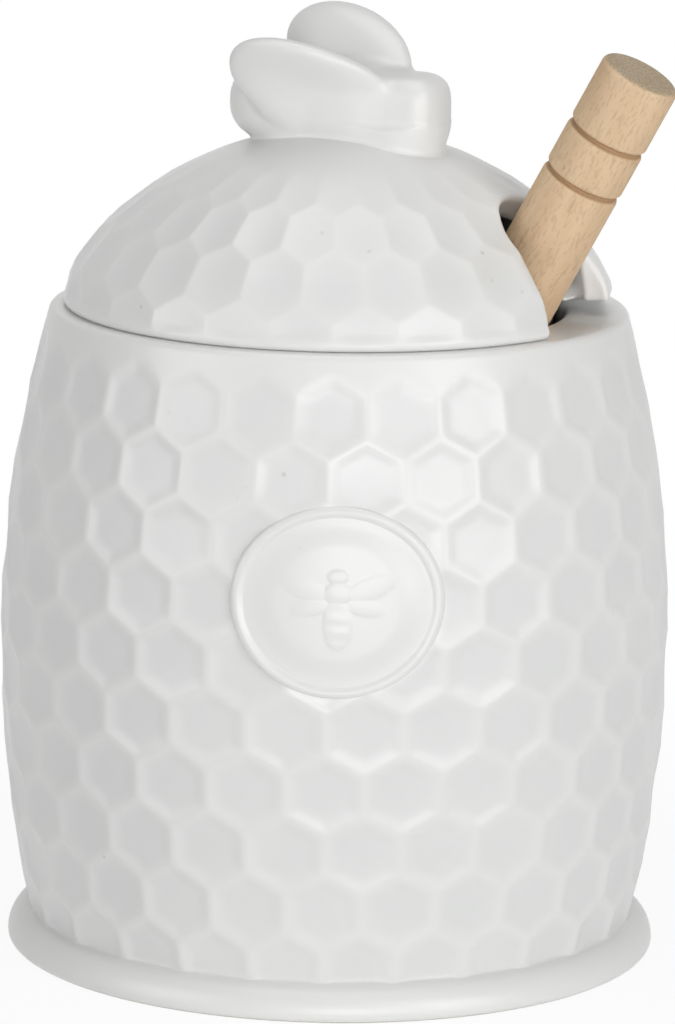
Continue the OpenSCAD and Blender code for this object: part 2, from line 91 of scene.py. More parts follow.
def length(name, description, default):
    """A property that holds a length."""
    return FloatProperty(name=name, description=description, default=default,
                         min=0.0, unit="LENGTH", precision=5)


def turn(name, description, degrees):
    """A property that holds an angle."""
    return FloatProperty(name=name, description=description,
                         default=math.radians(degrees), subtype="ANGLE")


def share(name, description, default):
    """A property that holds a share or a strength."""
    return FloatProperty(name=name, description=description, default=default,
                         min=0.0, precision=3)


def tint(name, description, default):
    """A property that holds a colour."""
    return FloatVectorProperty(name=name, description=description, default=default,
                               min=0.0, max=1.0, size=3, subtype="COLOR")


class PotSizes(bpy.types.PropertyGroup):
    """Sizes of the pot."""

    height: length("Height", "Height of the ledge that carries the lid", POT_TOP)
    belly_r: length("Belly radius", "Radius over the ridges at the widest line", 50.1 * MM)
    belly_level: length("Belly level", "Height of the widest line", 48 * MM)
    rim_r: length("Rim radius", "Radius at the rim before its edge is rounded", 42.85 * MM)
    waist_r: length("Waist radius", "Radius just above the foot", 45.65 * MM)
    foot_r: length("Foot radius", "Radius of the foot", 48.8 * MM)
    foot_h: length("Foot height", "Height of the foot's rounded flange", 5.3 * MM)
    base_round: length("Base rounding", "Rounding of the foot's bottom edge", 1 * MM)
    ring_w: length("Foot ring", "Width of the bare ring that the pot stands on", 6 * MM)
    recess: length("Recess", "Depth of the hollow inside the foot ring", 1.5 * MM)
    wall: length("Wall", "Thickness of the wall", 4.5 * MM)
    floor: length("Floor", "Height of the inside floor", 6 * MM)
    floor_round: length("Floor rounding", "Rounding between floor and wall", 8 * MM)
    mouth_r: length("Mouth radius", "Radius of the mouth", 33.5 * MM)
    ledge: length("Ledge", "Thickness of the ledge round the mouth", 4.5 * MM)
    ledge_round: length("Ledge rounding", "Rounding under the ledge", 5 * MM)
    lip_round: length("Lip rounding", "Rounding of the mouth's upper edge", 1 * MM)
    rim_round: length("Rim rounding", "Rounding of the rim's outer edge", 1.1 * MM)


class CombSizes(bpy.types.PropertyGroup):
    """Sizes of the honeycomb on the pot and on the lid."""

    cells: IntProperty(name="Cells", description="Cells in one ring", default=27, min=6)
    split: IntProperty(name="Split", description="Mesh columns in half a cell",
                       default=8, min=2)
    first: turn("First cell", "Direction of the first cell's centre", -91.3)
    pot_slope: share("Pot slope", "Part of a pot cell from its ridge to its floor", 0.2)
    pot_flat: share("Pot flatness", "Share of the flat facet in a pot cell", 0.5)
    lid_slope: share("Lid slope", "Part of a lid cell from its ridge to its floor", 0.3)
    lid_flat: share("Lid flatness", "Share of the flat facet in a lid cell", 0.9)
    pot_pitch: length("Pot pitch", "Height from one row to the next on the pot", 9.04 * MM)
    pot_band: length("Pot band", "Plain band above the pot's top row", 2.5 * MM)
    pot_depth: length("Pot depth", "Depth of the pot's cells", 0.6 * MM)
    lid_pitch: length("Lid pitch", "Distance between rows along the dome", 9.2 * MM)
    lid_rows: IntProperty(name="Lid rows", description="Rows on the lid", default=4)
    lid_depth: length("Lid depth", "Depth of the lid's cells", 0.5 * MM)


class MedallionSizes(bpy.types.PropertyGroup):
    """Sizes of the oval medallion."""

    half_w: length("Half width", "Half of the medallion's width", 15.4 * MM)
    half_h: length("Half height", "Half of the medallion's height", 13.8 * MM)
    level: length("Level", "Height of the medallion's centre", 62.3 * MM)
    facing: turn("Facing", "Direction that the medallion faces", -89.5)
    rim_w: length("Rim width", "Width of the raised rim", 1.8 * MM)
    groove_w: length("Groove width", "Width of the groove inside the rim", 1.1 * MM)
    rim_rise: length("Rim rise", "Height of the rim over the ridges", 0.5 * MM)
    field_rise: length("Field rise", "Height of the field over the ridges", 0.4 * MM)
    inset: length("Inset", "Depth that the medallion is let into the wall", 1.2 * MM)
    relief: length("Relief", "Height of the bee relief over the field", 0.2 * MM)


class LidSizes(bpy.types.PropertyGroup):
    """Sizes of the domed lid and its notch."""

    radius: length("Radius", "Largest radius of the lid", 41.3 * MM)
    height: length("Height", "Height of the dome's top over the ledge", 26.3 * MM)
    crown: length("Crown", "Radius of the dome's crown", 50 * MM)
    edge: length("Edge", "Radius of the dome's turned-down edge", 17.5 * MM)
    lip: length("Lip", "Rounding of the lid's bottom edge", 1.3 * MM)
    wall: length("Wall", "Thickness of the dome", 4.8 * MM)
    flange: length("Flange", "Thickness of the flange on the ledge", 4.5 * MM)
    collar_r: length("Collar radius", "Outer radius of the collar", 32.7 * MM)
    collar_t: length("Collar thickness", "Thickness of the collar", 3 * MM)
    notch_r: length("Notch radius", "Radius of the bite round the handle", 11.2 * MM)
    notch_level: length("Notch level", "Height at which the handle's axis crosses the bite",
                        23.9 * MM)
    notch_round: length("Notch rounding", "Rounding of the bite's glazed edge", 1.1 * MM)
    passage: length("Passage", "Gap between the handle and its passage", 1.6 * MM)
    slot: length("Slot", "Gap beside the handle in the collar's slot", 2.4 * MM)
    flare_l: length("Flare length", "Length of the passage's flare inside the dome", 13 * MM)
    flare_w: length("Flare width", "Widening of the passage at the flare's end", 4.8 * MM)
    relief_r: length("Relief radius", "Radius of the low relief beside the bite", 20.4 * MM)
    relief_h: length("Relief height", "Height of the relief over the ledge", 2.2 * MM)
    relief_out: length("Relief place", "Distance of the relief's centre from the axis",
                       45.4 * MM)
    relief_turn: turn("Relief turn", "Direction in which the relief opens", -14.5)
    grain: length("Grain", "Step of the lid's mesh", 0.46 * MM)


class BeeSizes(bpy.types.PropertyGroup):
    """Sizes of the bee knob, measured from the top of the dome."""

    half_h: length("Half height", "Half of the body's height", 6.3 * MM)
    rise: length("Rise", "Height of the body's middle", 3.8 * MM)
    abdomen_at: length("Abdomen place", "Distance of the abdomen behind the axis", 8.5 * MM)
    abdomen_l: length("Abdomen length", "Half of the abdomen's length", 8.7 * MM)
    abdomen_w: length("Abdomen width", "Half of the abdomen's width", 8 * MM)
    chest_at: length("Chest place", "Distance of the chest in front of the axis", 2 * MM)
    chest_l: length("Chest length", "Half of the chest's length", 8 * MM)
    chest_w: length("Chest width", "Half of the chest's width", 7.2 * MM)
    head_at: length("Head place", "Distance of the head in front of the axis", 10.8 * MM)
    head_l: length("Head length", "Half of the head's length", 5.6 * MM)
    head_w: length("Head width", "Half of the head's width", 5.8 * MM)
    head_h: length("Head height", "Half of the head's height", 5.5 * MM)
    head_box: share("Head boxiness", "Power of the head's outline, 2 for an oval", 3.2)
    base_r: length("Base radius", "Half of the base's width", 6.5 * MM)
    base_reach: length("Base reach", "Half of the base's straight part", 8.2 * MM)
    base_front: length("Base shift", "Shift of the base towards the head", 1.4 * MM)
    base_top: length("Base top", "Height at which the base ends inside the body", 1.2 * MM)
    blend: length("Blend", "Rounding where the glazed forms run together", 1.6 * MM)
    wing_l: length("Wing length", "Half of a wing's length", 11.9 * MM)
    wing_w: length("Wing width", "Half of a wing's width", 7.15 * MM)
    wing_t: length("Wing thickness", "Half of a wing's thickness", 2.25 * MM)
    wing_taper: share("Wing taper", "Share by which a wing is broader at its tip", 0.1)
    wing_sag: length("Wing sag", "Sag of a wing's long edges below its middle", 2 * MM)
    wing_back: length("Wing place", "Distance of a wing's centre behind the axis", 2 * MM)
    wing_out: length("Wing side", "Distance of a wing's centre from the middle", 7 * MM)
    wing_rise: length("Wing rise", "Height of a wing's centre", 9.5 * MM)
    wing_spread: turn("Wing spread", "Angle by which the wings open to their tips", 17)
    wing_pitch: turn("Wing pitch", "Angle by which a wing's tip points up", 14)
    wing_tilt: turn("Wing tilt", "Angle by which a wing's outer edge is raised", 66)
    wing_lean: turn("Wing lean", "Angle by which the pair of wings leans to the right", 7.5)
    grain: length("Grain", "Step of the knob's mesh", 0.36 * MM)


class DipperSizes(bpy.types.PropertyGroup):
    """Sizes of the dipper along its own axis."""

    total: length("Length", "Length from the rounded end to the top", 145.4 * MM)
    handle_r: length("Handle radius", "Radius of the handle", 6 * MM)
    tip_r: length("Tip radius", "Radius of the rounded end", 8 * MM)
    tip_back: length("Tip place", "Distance of the rounded end behind the pot's axis",
                     18.5 * MM)
    head_r: length("Head radius", "Radius of the grooved head", 12.5 * MM)
    discs: IntProperty(name="Discs", description="Discs on the head", default=6, min=1)
    disc_t: length("Disc", "Thickness of one disc", 3.2 * MM)
    disc_gap: length("Disc gap", "Gap between two discs", 2.4 * MM)
    core_r: length("Core radius", "Radius of the core between the discs", 5.5 * MM)
    groove_first: length("First groove", "Distance from the top to the first ring groove",
                         10.2 * MM)
    grooves: IntProperty(name="Grooves", description="Ring grooves in the handle",
                         default=2, min=1)
    groove_step: length("Groove step", "Distance between ring grooves", 7.6 * MM)
    groove_w: length("Groove width", "Width of a ring groove", 1.15 * MM)
    groove_depth: length("Groove depth", "Depth of a ring groove", 0.7 * MM)
    top_round: length("Top rounding", "Rounding of the handle's top edge", 1 * MM)


class Finishes(bpy.types.PropertyGroup):
    """Colours of the glaze and the wood."""

    glaze: tint("Glaze", "Colour of the clear glaze over white stoneware", (0.80, 0.80, 0.79))
    pooled: tint("Pooled glaze", "Colour where the glaze lies thick", (0.74, 0.75, 0.74))
    bisque: tint("Bare ring", "Colour of the unglazed foot ring", (0.66, 0.62, 0.56))
    grog: tint("Grog", "Colour of the darker grains in the bare ring", (0.52, 0.48, 0.42))
    beech_pale: tint("Pale beech", "Colour of the pale wood", (0.76, 0.56, 0.36))
    beech_dark: tint("Dark beech", "Colour of the wood's darker bands", (0.63, 0.43, 0.255))
    fleck: tint("Flecks", "Colour of the wood's rays and pores", (0.33, 0.21, 0.12))
    burnt: tint("Burnt groove", "Colour inside the ring grooves", (0.40, 0.24, 0.12))
    end_grain: tint("End grain", "Colour of the cut end", (0.38, 0.30, 0.20))


class StageSizes(bpy.types.PropertyGroup):
    """The camera, the lamps and the floor."""

    target: length("Target", "Height of the point on the axis that the camera faces", 60 * MM)
    distance: length("Distance", "Distance of the camera from that point", 900 * MM)
    elevation: turn("Elevation", "Angle of the camera above the horizon", 12)
    roll: turn("Roll", "Tilt of the picture", 0.9)
    focal_px: FloatProperty(name="Focal length", default=6000.0,
                            description="Focal length in pixels of the photograph")
    axis_x: FloatProperty(name="Target column", default=335.5,
                          description="Column of the photograph where the target lies")
    axis_y: FloatProperty(name="Target row", default=547.0,
                          description="Row of the photograph where the target lies")
    world: share("World", "Strength of the even light all round", 0.03)
    key: share("Key lamp", "Power of the lamp at the upper right, in watts", 1.0)
    front: share("Front lamp", "Power of the low lamp in front, in watts", 3.4)
    side: share("Side lamp", "Power of the lamp at the right, in watts", 3.7)
    fill: share("Fill lamp", "Power of the lamp at the left, in watts", 2.2)
    top: share("Top lamp", "Power of the lamp above, in watts", 3.0)
    floor: tint("Floor", "Colour of the floor", (0.96, 0.96, 0.96))
    floor_reach: length("Floor reach", "Half of the floor's side", 3000 * MM)
    floor_lit: share("Floor light", "Share of its own light that the floor shows by the pot",
                     0.92)
    floor_near: length("Floor near", "Distance from the axis where the floor grows lighter",
                       60 * MM)
    floor_far: length("Floor far", "Distance from the axis where the floor is all white",
                      220 * MM)


class HoneyPotSettings(bpy.types.PropertyGroup):
    """All settings of the honey pot."""

    pot: PointerProperty(type=PotSizes)
    comb: PointerProperty(type=CombSizes)
    medallion: PointerProperty(type=MedallionSizes)
    lid: PointerProperty(type=LidSizes)
    bee: PointerProperty(type=BeeSizes)
    dipper: PointerProperty(type=DipperSizes)
    finish: PointerProperty(type=Finishes)
    stage: PointerProperty(type=StageSizes)


# Profiles and curves

def arc(centre, radius, start, end, steps):
    """Points of an arc in a profile, with its angles in degrees."""
    angles = np.radians(np.linspace(start, end, steps + 1))
    return [(centre[0] + radius * math.cos(a), centre[1] + radius * math.sin(a))
            for a in angles]


def line(start, end, steps):
    """Points of a straight stretch, without its first point."""
    return [(start[0] + (end[0] - start[0]) * i / steps,
             start[1] + (end[1] - start[1]) * i / steps) for i in range(1, steps + 1)]


def rounded(corners, radius):
    """An open outline with each inner corner rounded."""
    steps, most = 3, 0.45
    outline = [corners[0]]
    for before, corner, after in zip(corners, corners[1:], corners[2:]):
        back = Vector(before) - Vector(corner)
        ahead = Vector(after) - Vector(corner)
        reach = min(radius, back.length * most, ahead.length * most)
        first = Vector(corner) + back.normalized() * reach
        last = Vector(corner) + ahead.normalized() * reach
        for i in range(steps + 1):
            t = i / steps
            bend = first * (1 - t) ** 2 + Vector(corner) * 2 * t * (1 - t) + last * t ** 2
            outline.append(tuple(bend))
    outline.append(corners[-1])
    return outline


def pot_radius(pot, z):
    """Radius over the pot's ridges at a height."""
    if z > pot.belly_level:
        t = (z - pot.belly_level) / (pot.height - pot.belly_level)
        return pot.belly_r - (pot.belly_r - pot.rim_r) * t ** 2
    t = (pot.belly_level - z) / (pot.belly_level - pot.foot_h)
    return pot.belly_r - (pot.belly_r - pot.waist_r) * t ** 2.2


# Meshes

def new_piece(name, points, faces, material):
    """Makes a smooth mesh object from points and faces."""
    mesh = bpy.data.meshes.new(name)
    mesh.from_pydata([tuple(p) for p in points], [], faces)
    mesh.polygons.foreach_set("use_smooth", [True] * len(mesh.polygons))
    mesh.materials.append(material)
    mesh.update()
    piece = bpy.data.objects.new(name, mesh)
    bpy.context.scene.collection.objects.link(piece)
    return piece


def keep_values(piece, name, values):
    """Stores one number or one vector for each point of a piece."""
    values = np.asarray(values, np.float32)
    if values.ndim == 1:
        layer = piece.data.attributes.new(name, "FLOAT", "POINT")
        layer.data.foreach_set("value", values)
    else:
        layer = piece.data.attributes.new(name, "FLOAT_VECTOR", "POINT")
        layer.data.foreach_set("vector", values.ravel())


def lathe(rings, columns, first):
    """Points and faces of a closed round body. rings runs from the inner pole to the
    outer pole, and holds for each ring its radii and heights at the even and odd columns."""
    angles = first + np.arange(columns) * 2 * math.pi / columns
    points = [(0.0, 0.0, rings[0][0][1])]
    for even, odd, *_ in rings[1:-1]:
        for i, a in enumerate(angles):
            r, z = odd if i % 2 else even
            points.append((r * math.cos(a), r * math.sin(a), z))
    points.append((0.0, 0.0, rings[-1][0][1]))
    count = len(rings) - 2
    last = len(points) - 1

    def at(ring, column):
        return 1 + ring * columns + column % columns

    faces = [(0, at(0, i), at(0, i + 1)) for i in range(columns)]
    for ring in range(count - 1):
        for i in range(columns):
            a, b = at(ring, i), at(ring + 1, i)
            c, d = at(ring + 1, i + 1), at(ring, i + 1)
            if i % 2:
                faces += [(a, b, c), (a, c, d)]
            else:
                faces += [(a, b, d), (b, c, d)]
    faces += [(last, at(count - 1, i + 1), at(count - 1, i)) for i in range(columns)]
    return points, faces


def surface_of(field, low, high, step):
    """Meshes the surface where a distance field is zero. The grid's crossings are joined
    to quads, and the points are evened out and drawn onto the surface in turn."""
    rounds, draws, probe, least_slope = 3, 4, 0.05, 0.05
    axes = [np.arange(a - 2 * step, b + 3 * step, step) for a, b in zip(low, high)]
    inside = field(np.stack(np.meshgrid(*axes, indexing="ij"), -1)) < 0
    sides = [inside[i:len(axes[0]) - 1 + i, j:len(axes[1]) - 1 + j, k:len(axes[2]) - 1 + k]
             for i in (0, 1) for j in (0, 1) for k in (0, 1)]
    mixed = np.logical_or.reduce(sides) & ~np.logical_and.reduce(sides)
    number = np.full(mixed.shape, -1)
    number[mixed] = np.arange(mixed.sum())
    points = np.stack([axes[d][np.nonzero(mixed)[d]] for d in range(3)], -1) + step / 2
    quads = []
    for d in range(3):
        u, v = (d + 1) % 3, (d + 2) % 3
        size = inside.shape[d]
        near = inside.take(range(size - 1), axis=d)
        far = inside.take(range(1, size), axis=d)
        place = np.stack(np.nonzero(near != far), -1)
        outwards = near[tuple(place.T)]
        ring = []
        for du, dv in ((-1, -1), (0, -1), (0, 0), (-1, 0)):
            cell = place.copy()
            cell[:, u] += du
            cell[:, v] += dv
            ring.append(number[tuple(cell.T)])
        ring = np.stack(ring, -1)
        quads.append(np.where(outwards[:, None], ring, ring[:, ::-1]))
    quads = np.concatenate(quads)

    def onto_surface(places):
        for _ in range(draws):
            value = field(places)
            h = step * probe
            slope = np.stack([field(places + o) - field(places - o) for o in np.eye(3) * h],
                             -1) / (2 * h)
            push = value / np.maximum((slope ** 2).sum(-1), least_slope)
            places = places - np.clip(push, -step, step)[:, None] * slope
        return places

    pairs = np.concatenate([quads[:, [i, (i + 1) % 4]] for i in range(4)])
    count = np.bincount(pairs[:, 0], minlength=len(points))[:, None]
    points = onto_surface(points)
    for _ in range(rounds):
        total = np.stack([np.bincount(pairs[:, 0], points[pairs[:, 1], d], len(points))
                          for d in range(3)], -1)
        points = onto_surface(points + 0.5 * (total / count - points))
    return points, quads.tolist()


# Distances between forms, which blend and cut them with a rounded edge

def join(a, b, radius):
    """Two forms as one, with a hollow rounding where they meet."""
    hollow = np.hypot(np.maximum(radius - a, 0), np.maximum(radius - b, 0))
    return np.maximum(radius, np.minimum(a, b)) - hollow


def common(a, b, radius):
    """What two forms share, with a rounded outer edge."""
    edge = np.hypot(np.maximum(radius + a, 0), np.maximum(radius + b, 0))
    return np.minimum(-radius, np.maximum(a, b)) + edge


def bean(x, y, z, half, plan=2.5, section=2.4):
    """Distance to a boxy ellipsoid with the given half sizes."""
    a, b, c = (np.abs(x) / half[0], np.abs(y) / half[1], np.abs(z) / half[2])
    flat = (a ** plan + b ** plan) ** (1 / plan) + 1e-9
    size = (flat ** section + c ** section) ** (1 / section) + 1e-9
    slope_plan = np.hypot(a ** (plan - 1) / half[0], b ** (plan - 1) / half[1])
    slope_plan = slope_plan / flat ** (plan - 1)
    slope = np.hypot(flat ** (section - 1) * slope_plan, c ** (section - 1) / half[2])
    return (size - 1) / (slope / size ** (section - 1) + 1e-9)


# Node helpers

def put(tree, kind, **settings):
    """Adds a node and sets its options."""
    node = tree.nodes.new(kind)
    for key, value in settings.items():
        setattr(node, key, value)
    return node


def feed(tree, socket, value):
    """Links a socket to a node's output, or sets its value."""
    if isinstance(value, bpy.types.NodeSocket):
        tree.links.new(value, socket)
    elif value is not None:
        socket.default_value = value


def calc(tree, operation, *values):
    """Adds a math node and gives its result."""
    node = put(tree, "ShaderNodeMath", operation=operation)
    for socket, value in zip(node.inputs, values):
        feed(tree, socket, value)
    return node.outputs[0]


def ramp(tree, value, low, high, start=0.0, end=1.0, kind="SMOOTHSTEP"):
    """Maps a value from low and high to start and end."""
    node = put(tree, "ShaderNodeMapRange", interpolation_type=kind)
    for name, given in (("Value", value), ("From Min", low), ("From Max", high),
                        ("To Min", start), ("To Max", end)):
        feed(tree, node.inputs[name], given)
    return node.outputs["Result"]


def product(tree, first, *others):
    """Multiplies values."""
    for other in others:
        first = calc(tree, "MULTIPLY", first, other)
    return first


def blend_colour(tree, amount, first, second):
    """Mixes two colours, where a Mix node's colour sockets are the seventh and eighth."""
    node = put(tree, "ShaderNodeMix", data_type="RGBA")
    feed(tree, node.inputs["Factor"], amount)
    feed(tree, node.inputs[6], first)
    feed(tree, node.inputs[7], second)
    return node.outputs[2]


def colour(value):
    """A colour with its alpha."""
    return (*value, 1.0)


def noise_on(tree, place, scale, detail):
    """A noise pattern over the given coordinates."""
    node = put(tree, "ShaderNodeTexNoise")
    feed(tree, node.inputs["Vector"], place)
    node.inputs["Scale"].default_value = scale
    node.inputs["Detail"].default_value = detail
    return node.outputs["Fac"]


def seen_rays(tree):
    """One for rays that show the surroundings: from the camera, or by way of gloss or
    glass."""
    path = put(tree, "ShaderNodeLightPath").outputs
    return calc(tree, "MAXIMUM", path["Is Camera Ray"],
                calc(tree, "MAXIMUM", path["Is Glossy Ray"], path["Is Transmission Ray"]))


# The honeycomb, sunk into a plain body by one rule

def honeycomb_tree():
    """Geometry nodes that sink six-sided cells into a body. Each point says how far up
    the body it lies, its direction round the axis, and the way out of the surface."""
    tree = bpy.data.node_groups.new("Honeycomb", "GeometryNodeTree")
    # Lengths across count cells, and lengths down count rows. A row's height squared is
    # 0.75 of a cell's width squared, and a cell's corner lies 2/3 of a row above its
    # middle, which is the root of 1/3 of its width
    half, row_square, corner_rows, per_corner = 0.5, 0.75, 2 / 3, 3.0
    face = tree.interface
    face.new_socket("Geometry", in_out="INPUT", socket_type="NodeSocketGeometry")
    for name, kind in (("Cells", "NodeSocketInt"), ("First Cell", "NodeSocketFloat"),
                       ("Top", "NodeSocketFloat"), ("Pitch", "NodeSocketFloat"),
                       ("Rows", "NodeSocketInt"), ("Depth", "NodeSocketFloat"),
                       ("Slope", "NodeSocketFloat"), ("Flat", "NodeSocketFloat"),
                       ("Material", "NodeSocketMaterial")):
        face.new_socket(name, in_out="INPUT", socket_type=kind)
    face.new_socket("Geometry", in_out="OUTPUT", socket_type="NodeSocketGeometry")
    given = put(tree, "NodeGroupInput").outputs
    out = put(tree, "NodeGroupOutput")

    def value_of(name, kind="FLOAT"):
        node = put(tree, "GeometryNodeInputNamedAttribute", data_type=kind)
        node.inputs["Name"].default_value = name
        return node.outputs["Attribute"]

    def math_of(operation, *values):
        return calc(tree, operation, *values)

    def times(*values):
        return product(tree, *values)

    per_turn = math_of("DIVIDE", given["Cells"], 2 * math.pi)
    x = times(math_of("SUBTRACT", value_of("around"), given["First Cell"]), per_turn)
    down = math_of("SUBTRACT", given["Top"], value_of("level"))
    y = math_of("SUBTRACT", math_of("DIVIDE", down, given["Pitch"]), corner_rows)

    def nearest_cell(shift):
        """Six-sided distance to the nearest cell's centre in every second row, that row,
        and the square of the straight way to the centre."""
        across = math_of("SUBTRACT", x, shift / 2)
        across = math_of("ABSOLUTE", math_of("SUBTRACT", across, math_of("ROUND", across)))
        half_row = math_of("ROUND", math_of("DIVIDE", math_of("SUBTRACT", y, shift), 2.0))
        row = math_of("ADD", times(half_row, 2.0), shift)
        up = math_of("ABSOLUTE", math_of("SUBTRACT", y, row))
        slanted = math_of("ADD", times(across, half), times(up, row_square))
        straight = math_of("ADD", times(across, across), times(up, up, row_square))
        return math_of("MAXIMUM", across, slanted), row, straight

    even, even_row, even_way = nearest_cell(0)
    odd, odd_row, odd_way = nearest_cell(1)
    is_odd = math_of("LESS_THAN", odd, even)
    centre = math_of("MINIMUM", even, odd)
    row = math_of("ADD", even_row, times(is_odd, math_of("SUBTRACT", odd_row, even_row)))
    real = times(math_of("GREATER_THAN", row, -half),
                 math_of("LESS_THAN", row, math_of("SUBTRACT", given["Rows"], half)))
    floor_edge = math_of("SUBTRACT", half, given["Slope"])
    ridged = ramp(tree, centre, half, floor_edge)
    # Sunk by the square of the way to the cell's middle, a round wall turns into flat
    # facets that end at nothing in the cell's corners
    way = math_of("MINIMUM", even_way, odd_way)
    facet = math_of("SUBTRACT", 1.0, times(way, per_corner))
    sunk = math_of("ADD", ridged, times(math_of("SUBTRACT", facet, ridged), given["Flat"]))
    sunk = times(sunk, real, value_of("fade"))
    depth = times(sunk, given["Depth"], -1.0)
    push = put(tree, "ShaderNodeVectorMath", operation="SCALE")
    feed(tree, push.inputs[0], value_of("outward", "FLOAT_VECTOR"))
    feed(tree, push.inputs["Scale"], depth)
    place = put(tree, "GeometryNodeSetPosition")
    feed(tree, place.inputs["Geometry"], given["Geometry"])
    feed(tree, place.inputs["Offset"], push.outputs[0])
    store = put(tree, "GeometryNodeStoreNamedAttribute", data_type="FLOAT", domain="POINT")
    feed(tree, store.inputs["Geometry"], place.outputs[0])
    store.inputs["Name"].default_value = "pool"
    feed(tree, store.inputs["Value"], sunk)
    real_mesh = put(tree, "GeometryNodeRealizeInstances")
    feed(tree, real_mesh.inputs[0], store.outputs[0])
    dress = put(tree, "GeometryNodeSetMaterial")
    feed(tree, dress.inputs["Geometry"], real_mesh.outputs[0])
    feed(tree, dress.inputs["Material"], given["Material"])
    feed(tree, out.inputs[0], dress.outputs[0])
    return tree


def sink_cells(piece, points, values):
    """Runs the honeycomb nodes on a piece and keeps the result as a plain mesh. points
    holds what each point says, and values what the nodes' own inputs are set to."""
    for name, given in points.items():
        keep_values(piece, name, given)
    tree = bpy.data.node_groups.get("Honeycomb") or honeycomb_tree()
    modifier = piece.modifiers.new("Honeycomb", "NODES")
    modifier.node_group = tree
    for socket in tree.interface.items_tree:
        if socket.in_out == "INPUT" and socket.name in values:
            modifier[socket.identifier] = values[socket.name]
    graph = bpy.context.evaluated_depsgraph_get()
    result = bpy.data.meshes.new_from_object(piece.evaluated_get(graph),
                                             preserve_all_data_layers=True, depsgraph=graph)
    piece.modifiers.clear()
    old = piece.data
    piece.data = result
    result.name = piece.name
    bpy.data.meshes.remove(old)


# Materials

def glaze_skin():
    """Node group for a clear glaze: its colour, roughness and fine unevenness."""
    tree = bpy.data.node_groups.get("glaze_skin")
    if tree:
        return tree
    tree = bpy.data.node_groups.new("glaze_skin", "ShaderNodeTree")
    face = tree.interface
    for name, kind, value in (("Glaze", "NodeSocketColor", (0.8, 0.8, 0.8, 1)),
                              ("Pooled", "NodeSocketColor", (0.7, 0.7, 0.7, 1)),
                              ("Pool", "NodeSocketFloat", 0.0),
                              ("Specks", "NodeSocketFloat", 0.3)):
        face.new_socket(name, in_out="INPUT", socket_type=kind).default_value = value
    for name, kind in (("Color", "NodeSocketColor"), ("Roughness", "NodeSocketFloat"),
                       ("Height", "NodeSocketFloat")):
        face.new_socket(name, in_out="OUTPUT", socket_type=kind)
    given = put(tree, "NodeGroupInput").outputs
    out = put(tree, "NodeGroupOutput")
    place = put(tree, "ShaderNodeTexCoord").outputs["Object"]

    # Slow clouds in the glaze, its fine orange peel, and rare small iron specks
    cloud_scale, peel_scale, dot_scale, rare_scale = 45, 420, 260, 120
    cloud_low, cloud_high = 0.3, 0.7
    smooth, satin = 0.32, 0.40
    iron = (0.36, 0.33, 0.28)
    clouds = noise_on(tree, place, cloud_scale, 1)
    peel = noise_on(tree, place, peel_scale, 2)
    dots = put(tree, "ShaderNodeTexVoronoi")
    feed(tree, dots.inputs["Vector"], place)
    dots.inputs["Scale"].default_value = dot_scale
    pits = ramp(tree, dots.outputs["Distance"], 0.05, 0.12, 1.0, 0.0)
    rare = ramp(tree, noise_on(tree, place, rare_scale, 1), 0.62, 0.70)
    specks = product(tree, pits, rare, given["Specks"])
    thick = product(tree, given["Pool"], ramp(tree, clouds, cloud_low, cloud_high, 0.5, 1.0))
    shade = blend_colour(tree, thick, given["Glaze"], given["Pooled"])
    shade = blend_colour(tree, specks, shade, colour(iron))
    feed(tree, out.inputs["Color"], shade)
    feed(tree, out.inputs["Roughness"],
         ramp(tree, clouds, cloud_low, cloud_high, smooth, satin))
    waves = calc(tree, "ADD", product(tree, clouds, 0.8), peel)
    feed(tree, out.inputs["Height"], calc(tree, "ADD", waves, product(tree, specks, -2.0)))
    return tree


def new_material(name):
    """An empty material with a Principled shader that feeds its output."""
    material = bpy.data.materials.new(name)
    material.use_nodes = True
    tree = material.node_tree
    tree.nodes.clear()
    shader = put(tree, "ShaderNodeBsdfPrincipled")
    out = put(tree, "ShaderNodeOutputMaterial")
    feed(tree, out.inputs["Surface"], shader.outputs[0])
    return material, tree, shader


def bump(tree, shader, height, strength, distance):
    """Feeds the shader's normal from a height."""
    node = put(tree, "ShaderNodeBump")
    node.inputs["Strength"].default_value = strength
    node.inputs["Distance"].default_value = distance
    feed(tree, node.inputs["Height"], height)
    feed(tree, shader.inputs["Normal"], node.outputs[0])


